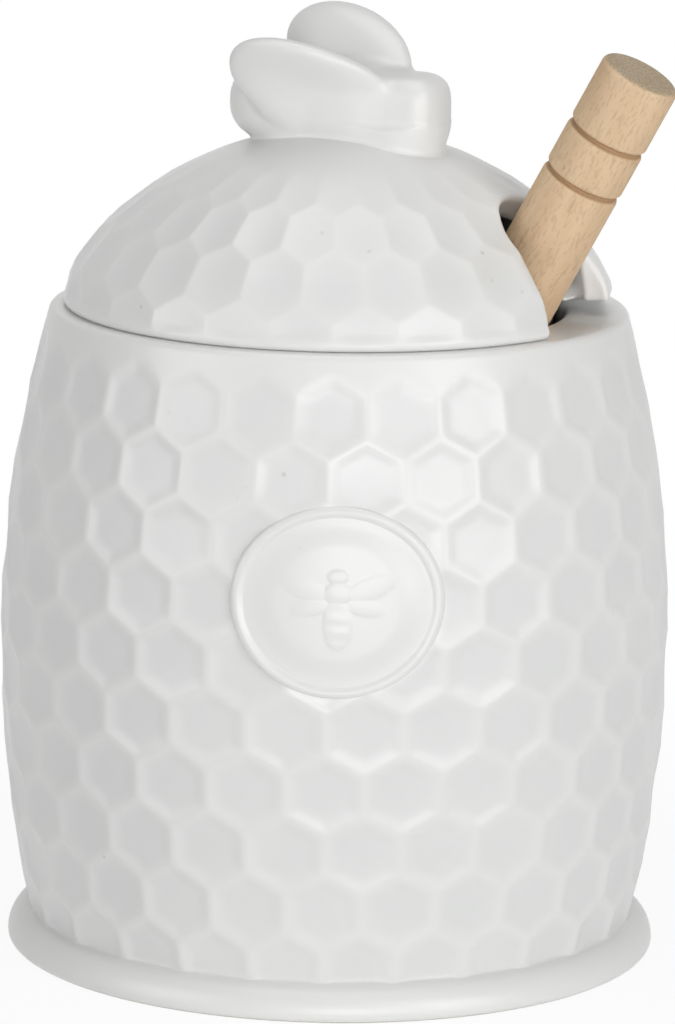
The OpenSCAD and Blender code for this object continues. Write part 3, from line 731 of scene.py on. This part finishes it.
def glazed(name, finish, bare_ring):
    """Glossy white stoneware. With bare_ring, what touches the table is unglazed."""
    name = "glossy_" + name
    found = bpy.data.materials.get(name)
    if found:
        return found
    material, tree, shader = new_material(name)
    skin = put(tree, "ShaderNodeGroup", node_tree=glaze_skin())
    skin.inputs["Glaze"].default_value = colour(finish.glaze)
    skin.inputs["Pooled"].default_value = colour(finish.pooled)
    pool = put(tree, "ShaderNodeAttribute", attribute_name="pool")
    feed(tree, skin.inputs["Pool"], pool.outputs["Fac"])
    shade, rough, height = (skin.outputs[n] for n in ("Color", "Roughness", "Height"))
    if bare_ring:
        place = put(tree, "ShaderNodeTexCoord").outputs["Object"]
        apart = put(tree, "ShaderNodeSeparateXYZ")
        feed(tree, apart.inputs[0], place)
        wiped_low, wiped_high = 0.15 * MM, 0.35 * MM
        grit_scale, grit_height, clay_rough = 1800, 4.0, 0.85
        bare = ramp(tree, apart.outputs["Z"], wiped_low, wiped_high, 1.0, 0.0)
        grit = noise_on(tree, place, grit_scale, 2)
        clay = blend_colour(tree, grit, colour(finish.bisque), colour(finish.grog))
        shade = blend_colour(tree, bare, shade, clay)
        rough = ramp(tree, bare, 0.0, 1.0, rough, clay_rough, kind="LINEAR")
        height = calc(tree, "ADD", height, product(tree, bare, grit_height, grit))
    feed(tree, shader.inputs["Base Color"], shade)
    feed(tree, shader.inputs["Roughness"], rough)
    for name, value in (("IOR", 1.5), ("Coat Weight", 0.15), ("Coat Roughness", 0.22)):
        shader.inputs[name].default_value = value
    bump(tree, shader, height, 0.35, 0.03 * MM)
    return material


def dipper_matrix(dipper):
    """Takes the dipper's own axis, with its rounded end at the origin, to its place."""
    back = Matrix.Rotation(DIPPER_TURN, 4, "Z")
    tip = back @ Vector((-dipper.tip_back, 0, 0)) + Vector((0, 0, TIP_LOW + dipper.tip_r))
    return Matrix.Translation(tip) @ back @ Matrix.Rotation(LEAN, 4, "Y")


def beech(finish, dipper):
    """Fine sanded beech: pale bands, short dark rays, burnt grooves and a cut end."""
    name = "turned_beech"
    found = bpy.data.materials.get(name)
    if found:
        return found
    material, tree, shader = new_material(name)
    home = dipper_matrix(dipper).inverted()
    place = put(tree, "ShaderNodeMapping")
    place.inputs["Location"].default_value = home.to_translation()
    place.inputs["Rotation"].default_value = home.to_euler()
    feed(tree, place.inputs["Vector"], put(tree, "ShaderNodeTexCoord").outputs["Object"])
    own = place.outputs[0]
    apart = put(tree, "ShaderNodeSeparateXYZ")
    feed(tree, apart.inputs[0], own)
    along = apart.outputs["Z"]
    squares = [product(tree, apart.outputs[d], apart.outputs[d]) for d in ("X", "Y")]
    radius = calc(tree, "SQRT", calc(tree, "ADD", *squares))

    def stretched(shares, scale, detail):
        """Noise whose marks are long along the handle where the last share is small."""
        shape = put(tree, "ShaderNodeMapping")
        feed(tree, shape.inputs["Vector"], own)
        shape.inputs["Scale"].default_value = shares
        return noise_on(tree, shape.outputs[0], scale, detail)

    band_scale, cloud_scale, ray_scale, pore_scale, end_scale = 330, 160, 1500, 2800, 2300
    ray_strength, pore_strength, end_strength, burnt_strength = 0.26, 0.22, 0.4, 0.85
    burn_low, burn_high = 0.45 * MM, 0.1 * MM
    cut_low, cut_high = 0.45 * MM, 0.05 * MM
    bands = stretched((1, 0.6, 0.06), band_scale, 3)
    clouds = stretched((1, 1, 0.4), cloud_scale, 3)
    rays = ramp(tree, stretched((1, 1, 0.22), ray_scale, 1), 0.60, 0.70)
    pores = ramp(tree, stretched((1, 1, 0.3), pore_scale, 1), 0.55, 0.68)
    wood = blend_colour(tree, ramp(tree, bands, 0.3, 0.7, 0.1, 0.7), colour(finish.beech_pale),
                        colour(finish.beech_dark))
    wood = blend_colour(tree, ramp(tree, clouds, 0.35, 0.7, 0.0, 0.5), wood,
                        colour(finish.beech_pale))
    for marks, strength in ((rays, ray_strength), (pores, pore_strength)):
        wood = blend_colour(tree, product(tree, marks, strength), wood, colour(finish.fleck))
    top = dipper.total - dipper.tip_r
    cut = ramp(tree, along, top - cut_low, top - cut_high)
    specks = ramp(tree, stretched((1, 1, 1), end_scale, 2), 0.45, 0.62)
    end = blend_colour(tree, product(tree, specks, end_strength), colour(finish.end_grain),
                       colour(finish.beech_pale))
    wood = blend_colour(tree, cut, wood, end)
    head_top = dipper.discs * (dipper.disc_t + dipper.disc_gap)
    on_handle = ramp(tree, along, head_top + 8 * MM, head_top + 9 * MM)
    low = ramp(tree, radius, dipper.handle_r - burn_low, dipper.handle_r - burn_high,
               1.0, 0.0)
    under_top = ramp(tree, along, top - 2.2 * MM, top - 1.8 * MM, 1.0, 0.0)
    burnt = product(tree, low, on_handle, under_top, burnt_strength)
    wood = blend_colour(tree, burnt, wood, colour(finish.burnt))
    feed(tree, shader.inputs["Base Color"], wood)
    feed(tree, shader.inputs["Roughness"], ramp(tree, bands, 0.3, 0.7, 0.55, 0.72))
    height = calc(tree, "SUBTRACT", bands, calc(tree, "ADD", rays, pores))
    bump(tree, shader, height, 0.5, 0.06 * MM)
    return material


# Pieces

def pot_rings(pot, comb):
    """The pot's rings from the inside floor over the rim to the hollow under the foot.
    Each holds a radius and height for even and odd columns, and its share of the comb."""
    def radius(z):
        return pot_radius(pot, z)

    under_round, ring_round, wall_steps, plain = 0.5 * MM, 0.6 * MM, 22, 3
    round_z = pot.floor + pot.floor_round
    under = pot.height - pot.ledge
    arch_z = under - pot.ledge_round
    inside = [(0, pot.floor)]
    inside += line((0, pot.floor), (radius(round_z) - pot.wall - pot.floor_round, pot.floor), 7)
    inside += arc((radius(round_z) - pot.wall - pot.floor_round, round_z), pot.floor_round,
                  -90, 0, 8)[1:]
    for i in range(1, wall_steps + 1):
        z = round_z + (arch_z - round_z) * i / wall_steps
        inside.append((radius(z) - pot.wall, z))
    inside += arc((radius(arch_z) - pot.wall - pot.ledge_round, arch_z), pot.ledge_round,
                  15, 90, 6)
    inside += line(inside[-1], (pot.mouth_r + under_round, under), 3)
    inside += arc((pot.mouth_r + under_round, under + under_round), under_round,
                  -90, -180, 2)[1:]
    inside += arc((pot.mouth_r + pot.lip_round, pot.height - pot.lip_round), pot.lip_round,
                  180, 90, 5)
    edge_r = radius(pot.height - pot.rim_round)
    inside += line(inside[-1], (edge_r - pot.rim_round, pot.height), 5)
    inside += arc((edge_r - pot.rim_round, pot.height - pot.rim_round), pot.rim_round,
                  90, 5, 5)[1:]
    top = pot.height - comb.pot_band
    for i in range(1, plain):
        z = pot.height - pot.rim_round + (top - pot.height + pot.rim_round) * i / plain
        inside.append((radius(z), z))
    rings = [(p, p, 0.0) for p in inside]
    step = comb.pot_pitch / (comb.split * 1.5)
    count = int((top - pot.foot_h) / step)
    for i in range(count):
        z = top - step * i
        low = z - (step / 2 if i else 0)
        rings.append(((radius(z), z), (radius(low), low), 1.0))
    waist = (radius(pot.foot_h), pot.foot_h)
    rings.append((waist, waist, 1.0))
    flange = pot.foot_h - pot.base_round
    ring_out = pot.foot_r - pot.base_round
    ring_in = ring_out - pot.ring_w
    outer = arc((pot.foot_r - flange, pot.base_round), flange, 78, 0, 12)
    outer += arc((ring_out, pot.base_round), pot.base_round, -15, -90, 4)
    outer += line((ring_out, 0), (ring_in + ring_round, 0), 3)
    outer += arc((ring_in + ring_round, ring_round), ring_round, -90, -180, 3)[1:]
    outer += [(ring_in, pot.recess)]
    outer += line((ring_in, pot.recess), (0, pot.recess), 5)
    rings += [(p, p, 0.0) for p in outer]
    return rings


class HONEYPOT_OT_pot(bpy.types.Operator):
    """Make the pot with its honeycomb wall"""

    bl_idname = "honeypot.pot"
    bl_label = "Pot"

    def execute(self, context):
        settings = context.scene.honey_pot
        pot, comb = settings.pot, settings.comb
        columns = comb.cells * comb.split * 2
        rings = pot_rings(pot, comb)
        points, faces = lathe(rings, columns, comb.first)
        material = glazed("pot_glaze", settings.finish, bare_ring=True)
        piece = new_piece("honeycomb_pot", points, faces, material)
        points = np.array(points)
        fade = np.zeros(len(points))
        for i, ring in enumerate(rings[1:-1]):
            fade[1 + i * columns:1 + (i + 1) * columns] = ring[2]
        h = 0.1 * MM
        slope = np.array([(pot_radius(pot, z + h) - pot_radius(pot, z - h)) / (2 * h)
                          for z in points[:, 2]])
        angle = np.arctan2(points[:, 1], points[:, 0])
        outward = np.stack([np.cos(angle), np.sin(angle), -slope], -1)
        outward /= np.linalg.norm(outward, axis=-1, keepdims=True)
        top = pot.height - comb.pot_band
        rows = 1 + math.floor((top - pot.foot_h) / comb.pot_pitch - 0.5)
        sink_cells(piece, {"around": angle, "level": points[:, 2], "outward": outward,
                           "fade": fade},
                   {"Cells": comb.cells, "First Cell": comb.first, "Top": top,
                    "Pitch": comb.pot_pitch, "Rows": rows, "Depth": comb.pot_depth,
                    "Slope": comb.pot_slope, "Flat": comb.pot_flat, "Material": material})
        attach(piece, "pot_base")
        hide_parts("pot")
        return {"FINISHED"}


def bee_relief(x, y):
    """Height from 0 to 1 of a small plain bee seen from above, for x and y in its size."""
    def oval(cx, cy, a, b, degrees):
        t = math.radians(degrees)
        u = ((x - cx) * math.cos(t) + (y - cy) * math.sin(t)) / a
        v = (-(x - cx) * math.sin(t) + (y - cy) * math.cos(t)) / b
        return np.sqrt(np.clip(1 - u ** 2 - v ** 2, 0, 1))

    bands = 0.88 + 0.12 * np.cos(y * 34)
    body = np.maximum(oval(0, -0.26, 0.17, 0.34, 0) * bands, oval(0, 0.13, 0.16, 0.15, 0))
    body = np.maximum(body, 0.9 * oval(0, 0.34, 0.12, 0.10, 0))
    wings = 0
    for side in (-1, 1):
        wings = np.maximum(wings, 0.6 * oval(side * 0.38, 0.20, 0.31, 0.14, side * 24))
        wings = np.maximum(wings, 0.5 * oval(side * 0.31, -0.05, 0.23, 0.11, side * -14))
    return np.maximum(body, wings)


class HONEYPOT_OT_medallion(bpy.types.Operator):
    """Make the oval medallion with its low bee relief"""

    bl_idname = "honeypot.medallion"
    bl_label = "Medallion"

    def execute(self, context):
        settings = context.scene.honey_pot
        pot, medal = settings.pot, settings.medallion
        rim = medal.rim_w / medal.half_w
        field = 1 - (medal.rim_w + medal.groove_w) / medal.half_w
        middle, field_rings, rim_rings, columns = 0.03, 60, 22, 144
        rim_power, pillow, back = 0.8, 0.24, 1 * MM
        shares = [middle + (field - middle) * i / field_rings for i in range(field_rings + 1)]
        shares += [field + (1 - field) * i / rim_rings for i in range(1, rim_rings + 1)]
        points = []
        for s in shares:
            for i in range(columns):
                a = 2 * math.pi * i / columns
                points.append((s * math.cos(a), s * math.sin(a), s))
        points = np.array([(0, 0, 0)] + points)
        s = points[:, 2]
        crest = np.clip((s - (1 - rim)) / rim, 0, 1)
        rim_top = np.sin(math.pi * crest) ** rim_power
        edge = np.clip((field - s) / pillow, 0, 1)
        field_top = edge * edge * (3 - 2 * edge)
        relief = bee_relief(points[:, 0] / field, points[:, 1] / field)
        rise = field_top * medal.field_rise + relief * medal.relief
        rise = np.where(s > 1 - rim, rim_top * medal.rim_rise, rise)
        rise[-columns:] = -medal.inset
        wide = points[:, 0] * medal.half_w
        z = medal.level + points[:, 1] * medal.half_h
        radius = np.array([pot_radius(pot, h) for h in z])
        out = np.sqrt(np.maximum(radius ** 2 - wide ** 2, 0)) + rise
        # A pole inside the wall closes the back
        place = np.stack([wide, -out, z], -1)
        first = 1 + (len(shares) - 1) * columns
        depth = pot.belly_r - medal.inset - back
        place = np.concatenate([place, [(0, -depth, medal.level)]])
        pole = len(place) - 1

        def at(ring, column):
            return 1 + ring * columns + column % columns

        faces = [(0, at(0, i), at(0, i + 1)) for i in range(columns)]
        for ring in range(len(shares) - 1):
            faces += [(at(ring, i), at(ring + 1, i), at(ring + 1, i + 1), at(ring, i + 1))
                      for i in range(columns)]
        faces += [(pole, first + (i + 1) % columns, first + i) for i in range(columns)]
        spin = Matrix.Rotation(medal.facing + math.pi / 2, 3, "Z")
        place = place @ np.array(spin).T
        piece = new_piece("oval_medallion", place, faces,
                          glazed("pot_glaze", settings.finish, bare_ring=True))
        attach(piece, "pot_base")
        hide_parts("medallion")
        return {"FINISHED"}


def towards_dipper(p):
    """How far points lie from the axis towards the dipper's side, and across it."""
    c, s = math.cos(DIPPER_TURN), math.sin(DIPPER_TURN)
    return p[..., 0] * c + p[..., 1] * s, -p[..., 0] * s + p[..., 1] * c


class LidShape:
    """Distances to the parts of the lid."""

    def __init__(self, settings):
        lid, dipper = settings.lid, settings.dipper
        self.lid = lid
        self.top = POT_TOP + lid.height
        self.crown_z = self.top - lid.crown
        run = lid.radius - lid.edge
        self.edge_c = (run, self.crown_z + math.sqrt((lid.crown - lid.edge) ** 2 - run ** 2))
        self.join_a = math.acos(run / (lid.crown - lid.edge))
        self.start_a = math.asin((POT_TOP + lid.lip - self.edge_c[1]) / lid.edge)
        self.edge_l = lid.edge * (self.join_a - self.start_a)
        self.flange_z = POT_TOP + lid.flange
        self.tip = dipper_matrix(dipper).to_translation()
        self.handle_r = dipper.handle_r
        self.notch_reach = ((POT_TOP + lid.notch_level - self.tip.z) * math.tan(LEAN)
                            - dipper.tip_back)
        self.slot_w = dipper.handle_r + lid.slot
        self.tip_back = dipper.tip_back

    def dome(self, p):
        """Distance from the dome's outside, and how far up the dome from its edge."""
        r = np.hypot(p[..., 0], p[..., 1])
        z = p[..., 2]
        on_crown = np.arctan2(z - self.crown_z, r)
        on_edge = np.arctan2(z - self.edge_c[1], r - self.edge_c[0])
        high = on_crown > self.join_a
        far = np.where(high, np.hypot(r, z - self.crown_z) - self.lid.crown,
                       np.hypot(r - self.edge_c[0], z - self.edge_c[1]) - self.lid.edge)
        up = np.where(high, self.edge_l + self.lid.crown * (on_crown - self.join_a),
                      self.lid.edge * (on_edge - self.start_a))
        return far, up

    def outward(self, p):
        """Direction out of the dome."""
        r = np.hypot(p[..., 0], p[..., 1])
        high = np.arctan2(p[..., 2] - self.crown_z, r) > self.join_a
        run = np.where(high, r, r - self.edge_c[0])
        rise = np.where(high, p[..., 2] - self.crown_z, p[..., 2] - self.edge_c[1])
        size = np.hypot(run, rise) + 1e-12
        return np.stack([p[..., 0] / (r + 1e-12) * run / size,
                         p[..., 1] / (r + 1e-12) * run / size, rise / size], -1)

    def notch(self, p):
        """Distance from the round bite, the slanted passage with its flare, the collar's
        slot and the low relief."""
        u, v = towards_dipper(p)
        bite = np.hypot(u - self.notch_reach, v) - self.lid.notch_r
        rel = p - np.array(self.tip)
        along = rel @ np.array(PULL)
        passage = np.linalg.norm(rel - along[..., None] * np.array(PULL), axis=-1)
        passage = passage - self.handle_r - self.lid.passage
        flare_low = (self.flange_z - self.tip.z) / math.cos(LEAN)
        in_flare = along - flare_low
        flare = passage - self.lid.flare_w * (1 - in_flare / self.lid.flare_l)
        flare = np.maximum(flare, np.maximum(-in_flare, in_flare - self.lid.flare_l))
        passage = np.minimum(passage, flare)
        low = (COLLAR_LOW - self.tip.z) * math.tan(LEAN) - self.tip_back - self.handle_r / 2
        slot = np.maximum(np.abs(v) - self.slot_w, low - u)
        slot = np.maximum(slot, p[..., 2] - self.flange_z)
        turn_to = self.lid.relief_turn
        relief = np.hypot(p[..., 0] - self.lid.relief_out * math.cos(turn_to),
                          p[..., 1] - self.lid.relief_out * math.sin(turn_to))
        relief = np.maximum(relief - self.lid.relief_r,
                            p[..., 2] - POT_TOP - self.lid.relief_h)
        return np.minimum(np.minimum(bite, passage), np.minimum(slot, relief))

    def __call__(self, p):
        lid = self.lid
        r = np.hypot(p[..., 0], p[..., 1])
        z = p[..., 2]
        far, _ = self.dome(p)
        body = common(far, POT_TOP - z, lid.lip)
        soft, fillet, bore_fillet, rim = 1 * MM, 0.4 * MM, 1.2 * MM, 0.5 * MM
        collar = common(r - lid.collar_r, COLLAR_LOW - z, soft)
        collar = np.maximum(collar, z - self.flange_z + soft)
        body = join(body, collar, fillet)
        hollow = common(far + lid.wall, self.flange_z - z, soft)
        bore = np.maximum(r - lid.collar_r + lid.collar_t, z - self.flange_z - soft)
        hollow = join(hollow, bore, bore_fillet)
        body = common(body, -hollow, rim)
        return common(body, -self.notch(p), lid.notch_round)


class HONEYPOT_OT_lid(bpy.types.Operator):
    """Make the domed lid with its notch and its honeycomb"""

    bl_idname = "honeypot.lid"
    bl_label = "Lid"

    def execute(self, context):
        settings = context.scene.honey_pot
        lid, comb = settings.lid, settings.comb
        shape = LidShape(settings)
        points, faces = surface_of(shape, (-lid.radius, -lid.radius, COLLAR_LOW),
                                   (lid.radius, lid.radius, shape.top), lid.grain)
        material = glazed("lid_glaze", settings.finish, bare_ring=False)
        piece = new_piece("domed_lid", points, faces, material)
        far, up = shape.dome(points)
        top = lid.lip + comb.lid_pitch * (comb.lid_rows - 0.5)
        skin_t, crown_fade, least = 1 * MM, 20 * MM, 0.05
        over_top, under_edge, edge_fade = 1 * MM, 0.3 * MM, 1.5 * MM
        skin = np.clip(1 + far / skin_t, 0, 1)
        shallow = np.clip((top + over_top - up) / crown_fade, least, 1)
        edge = np.clip((up + under_edge) / edge_fade, 0, 1)
        sink_cells(piece, {"around": np.arctan2(points[:, 1], points[:, 0]), "level": up,
                           "outward": shape.outward(points), "fade": skin * shallow * edge},
                   {"Cells": comb.cells, "First Cell": comb.first, "Top": top,
                    "Pitch": comb.lid_pitch, "Rows": comb.lid_rows,
                    "Depth": comb.lid_depth, "Slope": comb.lid_slope,
                    "Flat": comb.lid_flat, "Material": material})
        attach(piece, "lid_with_knob")
        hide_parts("lid")
        return {"FINISHED"}


def bee_field(bee, lid_shape):
    """Distance field of the bee with its wings and base, run together under the glaze."""
    lean = bee.wing_lean
    edge_power = 10 / 3
    most_sag = 1.5
    # A thin skirt of slip on the dome round the base, and a root that holds the knob
    skirt_t, skirt_w, skirt_blend, root = 0.2 * MM, 1.6 * MM, 0.9 * MM, 2.5 * MM

    def wing(u, v, w, side):
        v, w = v * math.cos(lean) + (w - bee.rise) * math.sin(lean), \
            bee.rise + (w - bee.rise) * math.cos(lean) - v * math.sin(lean)
        spin = (Matrix.Rotation(math.pi + bee.wing_spread, 3, "Z")
                @ Matrix.Rotation(-bee.wing_pitch, 3, "Y")
                @ Matrix.Rotation(bee.wing_tilt, 3, "X"))
        p = np.stack([u + bee.wing_back, side * v + bee.wing_out, w - bee.wing_rise], -1)
        p = p @ np.array(spin)
        across = p[..., 1] / (1 + bee.wing_taper * np.clip(p[..., 0] / bee.wing_l, -1, 1))
        up = p[..., 2] + bee.wing_sag * np.minimum((across / bee.wing_w) ** 2, most_sag)
        flat = np.hypot(p[..., 0] / bee.wing_l, across / bee.wing_w) + 1e-9
        slope_flat = np.hypot(p[..., 0] / bee.wing_l ** 2, across / bee.wing_w ** 2) / flat
        size = np.sqrt(flat ** edge_power + (up / bee.wing_t) ** 2) + 1e-9
        slope = np.hypot(edge_power * flat ** (edge_power - 1) * slope_flat,
                         2 * up / bee.wing_t ** 2)
        return (size - 1) * 2 * size / (slope + 1e-9)

    def field(p):
        u, v = towards_dipper(p)
        w = p[..., 2] - lid_shape.top
        body = bean(u + bee.abdomen_at, v, w - bee.rise,
                    (bee.abdomen_l, bee.abdomen_w, bee.half_h))
        body = join(body, bean(u - bee.chest_at, v, w - bee.rise,
                               (bee.chest_l, bee.chest_w, bee.half_h)), bee.blend)
        head = bean(u - bee.head_at, v, w - bee.rise, (bee.head_l, bee.head_w, bee.head_h),
                    bee.head_box, bee.head_box)
        body = join(body, head, bee.blend)
        oval = np.hypot(np.maximum(np.abs(u - bee.base_front) - bee.base_reach, 0), v)
        oval = oval - bee.base_r
        body = join(body, np.maximum(oval, w - bee.base_top), bee.blend)
        far, _ = lid_shape.dome(p)
        body = join(body, np.maximum(far + skirt_t, oval - skirt_w), skirt_blend)
        body = np.maximum(body, -far - root)
        wings = np.minimum(wing(u, v, w, 1), wing(u, v, w, -1))
        return join(body, wings, bee.blend)

    return field


class HONEYPOT_OT_bee(bpy.types.Operator):
    """Make the bee knob"""

    bl_idname = "honeypot.bee"
    bl_label = "Bee knob"

    def execute(self, context):
        settings = context.scene.honey_pot
        bee = settings.bee
        lid_shape = LidShape(settings)
        low = Vector(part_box("knob_body")[0])
        high = Vector(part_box("knob_body")[1])
        for node in ("knob_wing_left", "knob_wing_right"):
            low = Vector(map(min, low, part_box(node)[0]))
            high = Vector(map(max, high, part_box(node)[1]))
        room = Vector((3 * MM, 3 * MM, 2 * MM))
        points, faces = surface_of(bee_field(bee, lid_shape), low - room, high + room,
                                   bee.grain)
        piece = new_piece("bee_knob", points, faces,
                          glazed("lid_glaze", settings.finish, bare_ring=False))
        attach(piece, "lid_with_knob")
        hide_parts("knob_body", "knob_wing_left", "knob_wing_right")
        return {"FINISHED"}


class HONEYPOT_OT_dipper(bpy.types.Operator):
    """Make the turned beech dipper"""

    bl_idname = "honeypot.dipper"
    bl_label = "Dipper"

    def execute(self, context):
        settings = context.scene.honey_pot
        dipper = settings.dipper
        pitch = dipper.disc_t + dipper.disc_gap
        head_top = dipper.discs * pitch
        top = dipper.total - dipper.tip_r
        # The discs follow an oval that is longer than the head, and a groove's sides
        # slope over this share of its width
        oval_l, side_share, shoulder = 1.6, 0.38, 4 * MM
        edge_round, columns = 0.45 * MM, 96

        def head_r(x):
            half = head_top / 2
            return dipper.head_r * math.sqrt(1 - ((x - half) / (half * oval_l)) ** 2)

        corners = [(dipper.core_r, 0)]
        for i in range(dipper.discs):
            low = dipper.disc_gap + i * pitch
            corners += [(dipper.core_r, low), (head_r(low), low),
                        (head_r(low + dipper.disc_t), low + dipper.disc_t),
                        (dipper.core_r, low + dipper.disc_t)]
        corners[-1] = (dipper.handle_r, head_top + shoulder)
        low_r = dipper.handle_r - dipper.groove_depth
        for i in reversed(range(dipper.grooves)):
            lip = top - dipper.groove_first - i * dipper.groove_step
            corners += [(dipper.handle_r, lip - dipper.groove_w),
                        (low_r, lip - dipper.groove_w * (1 - side_share)),
                        (low_r, lip - dipper.groove_w * side_share),
                        (dipper.handle_r, lip)]
        corners += [(dipper.handle_r, top - dipper.top_round)]
        tip = arc((0, 0), dipper.tip_r, -90, 0, 12)
        outline = tip + rounded([tip[-1]] + corners, edge_round)[1:]
        outline += arc((dipper.handle_r - dipper.top_round, top - dipper.top_round),
                       dipper.top_round, 0, 90, 5)[1:]
        outline += line(outline[-1], (0, top), 5)
        # From the top down, as the lathe runs from its upper pole
        points, faces = lathe([(p, p) for p in reversed(outline)], columns, 0.0)
        place = dipper_matrix(dipper)
        points = [place @ Vector(p) for p in points]
        piece = new_piece("honey_dipper", points, faces, beech(settings.finish, dipper))
        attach(piece, "dipper_stick")
        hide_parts("dipper")
        return {"FINISHED"}


# Stage

def lit_white(name, stage):
    """A pale floor that shows white to the camera and in reflections, and still takes
    the object's shadow near it."""
    material = bpy.data.materials.new(name)
    material.use_nodes = True
    tree = material.node_tree
    tree.nodes.clear()
    matt = put(tree, "ShaderNodeBsdfDiffuse")
    matt.inputs["Color"].default_value = colour(stage.floor)
    white = put(tree, "ShaderNodeEmission")
    white.inputs["Color"].default_value = (1, 1, 1, 1)
    white.inputs["Strength"].default_value = 1.0
    mix = put(tree, "ShaderNodeMixShader")
    far = put(tree, "ShaderNodeVectorMath", operation="LENGTH")
    feed(tree, far.inputs[0], put(tree, "ShaderNodeTexCoord").outputs["Object"])
    share_lit = ramp(tree, far.outputs["Value"], stage.floor_near, stage.floor_far,
                     stage.floor_lit, 1.0)
    feed(tree, mix.inputs[0], product(tree, seen_rays(tree), share_lit))
    feed(tree, mix.inputs[1], matt.outputs[0])
    feed(tree, mix.inputs[2], white.outputs[0])
    out = put(tree, "ShaderNodeOutputMaterial")
    feed(tree, out.inputs["Surface"], mix.outputs[0])
    return material


def soft_lamp(name, place, size, power):
    """An area lamp that faces the middle of the pot."""
    data = bpy.data.lights.new(name, "AREA")
    data.shape = "RECTANGLE"
    data.size, data.size_y = size
    data.energy = power
    lamp = bpy.data.objects.new(name, data)
    bpy.context.scene.collection.objects.link(lamp)
    lamp.location = place
    lamp.rotation_euler = (Vector(LIT_POINT) - Vector(place)).to_track_quat("-Z", "Y").to_euler()


class HONEYPOT_OT_stage(bpy.types.Operator):
    """Make the camera, the lamps, the world and the floor"""

    bl_idname = "honeypot.stage"
    bl_label = "Stage"

    def execute(self, context):
        stage = context.scene.honey_pot.stage
        scene = context.scene
        data = bpy.data.cameras.new("camera")
        camera = bpy.data.objects.new("camera", data)
        scene.collection.objects.link(camera)
        scene.camera = camera
        target = Vector((0, 0, stage.target))
        back = Vector((0, -math.cos(stage.elevation), math.sin(stage.elevation)))
        camera.location = target + back * stage.distance
        level = (-back).to_track_quat("-Z", "Y").to_matrix()
        camera.rotation_euler = (level @ Matrix.Rotation(stage.roll, 3, "Z")).to_euler()
        data.sensor_width = SENSOR_W
        data.lens = stage.focal_px * SENSOR_W / PHOTO_H
        data.shift_x = (PHOTO_W / 2 - stage.axis_x) / PHOTO_H
        data.shift_y = (stage.axis_y - PHOTO_H / 2) / PHOTO_H
        data.clip_start, data.clip_end = 0.05, 20

        reach = stage.floor_reach
        points = [(x * reach, y * reach, 0) for x, y in ((-1, -1), (1, -1), (1, 1), (-1, 1))]
        floor = new_piece("floor", points, [(0, 1, 2, 3)],
                          lit_white("floor_white", stage))

        world = bpy.data.worlds.new("world")
        scene.world = world
        world.use_nodes = True
        tree = world.node_tree
        tree.nodes.clear()
        light = put(tree, "ShaderNodeBackground")
        light.inputs["Color"].default_value = (1, 1, 1, 1)
        feed(tree, light.inputs["Strength"],
             ramp(tree, seen_rays(tree), 0.0, 1.0, stage.world, 1.0, kind="LINEAR"))
        out = put(tree, "ShaderNodeOutputWorld")
        feed(tree, out.inputs["Surface"], light.outputs[0])

        for name, (place, size) in LAMPS.items():
            soft_lamp(name, place, size, getattr(stage, name))
        scene.view_settings.view_transform = "Standard"
        return {"FINISHED"}


class HONEYPOT_PT_panel(bpy.types.Panel):
    """Lists the pieces of the honey pot"""

    bl_idname = "HONEYPOT_PT_panel"
    bl_label = "Honey Pot"
    bl_space_type = "VIEW_3D"
    bl_region_type = "UI"
    bl_category = "Honey Pot"

    def draw(self, context):
        for maker in MAKERS:
            self.layout.operator(maker.bl_idname)


MAKERS = (HONEYPOT_OT_stage, HONEYPOT_OT_pot, HONEYPOT_OT_medallion, HONEYPOT_OT_lid,
          HONEYPOT_OT_bee, HONEYPOT_OT_dipper)
CLASSES = (PotSizes, CombSizes, MedallionSizes, LidSizes, BeeSizes, DipperSizes, Finishes,
           StageSizes, HoneyPotSettings, *MAKERS, HONEYPOT_PT_panel)


def register():
    """Registers the classes and the scene's settings."""
    for item in CLASSES:
        bpy.utils.register_class(item)
    bpy.types.Scene.honey_pot = PointerProperty(type=HoneyPotSettings)


def unregister():
    """Takes the classes and the settings away again."""
    del bpy.types.Scene.honey_pot
    for item in reversed(CLASSES):
        bpy.utils.unregister_class(item)


def main():
    """Makes every piece."""
    register()
    for maker in MAKERS:
        group, name = maker.bl_idname.split(".")
        getattr(getattr(bpy.ops, group), name)()


if __name__ == "__main__":
    main()
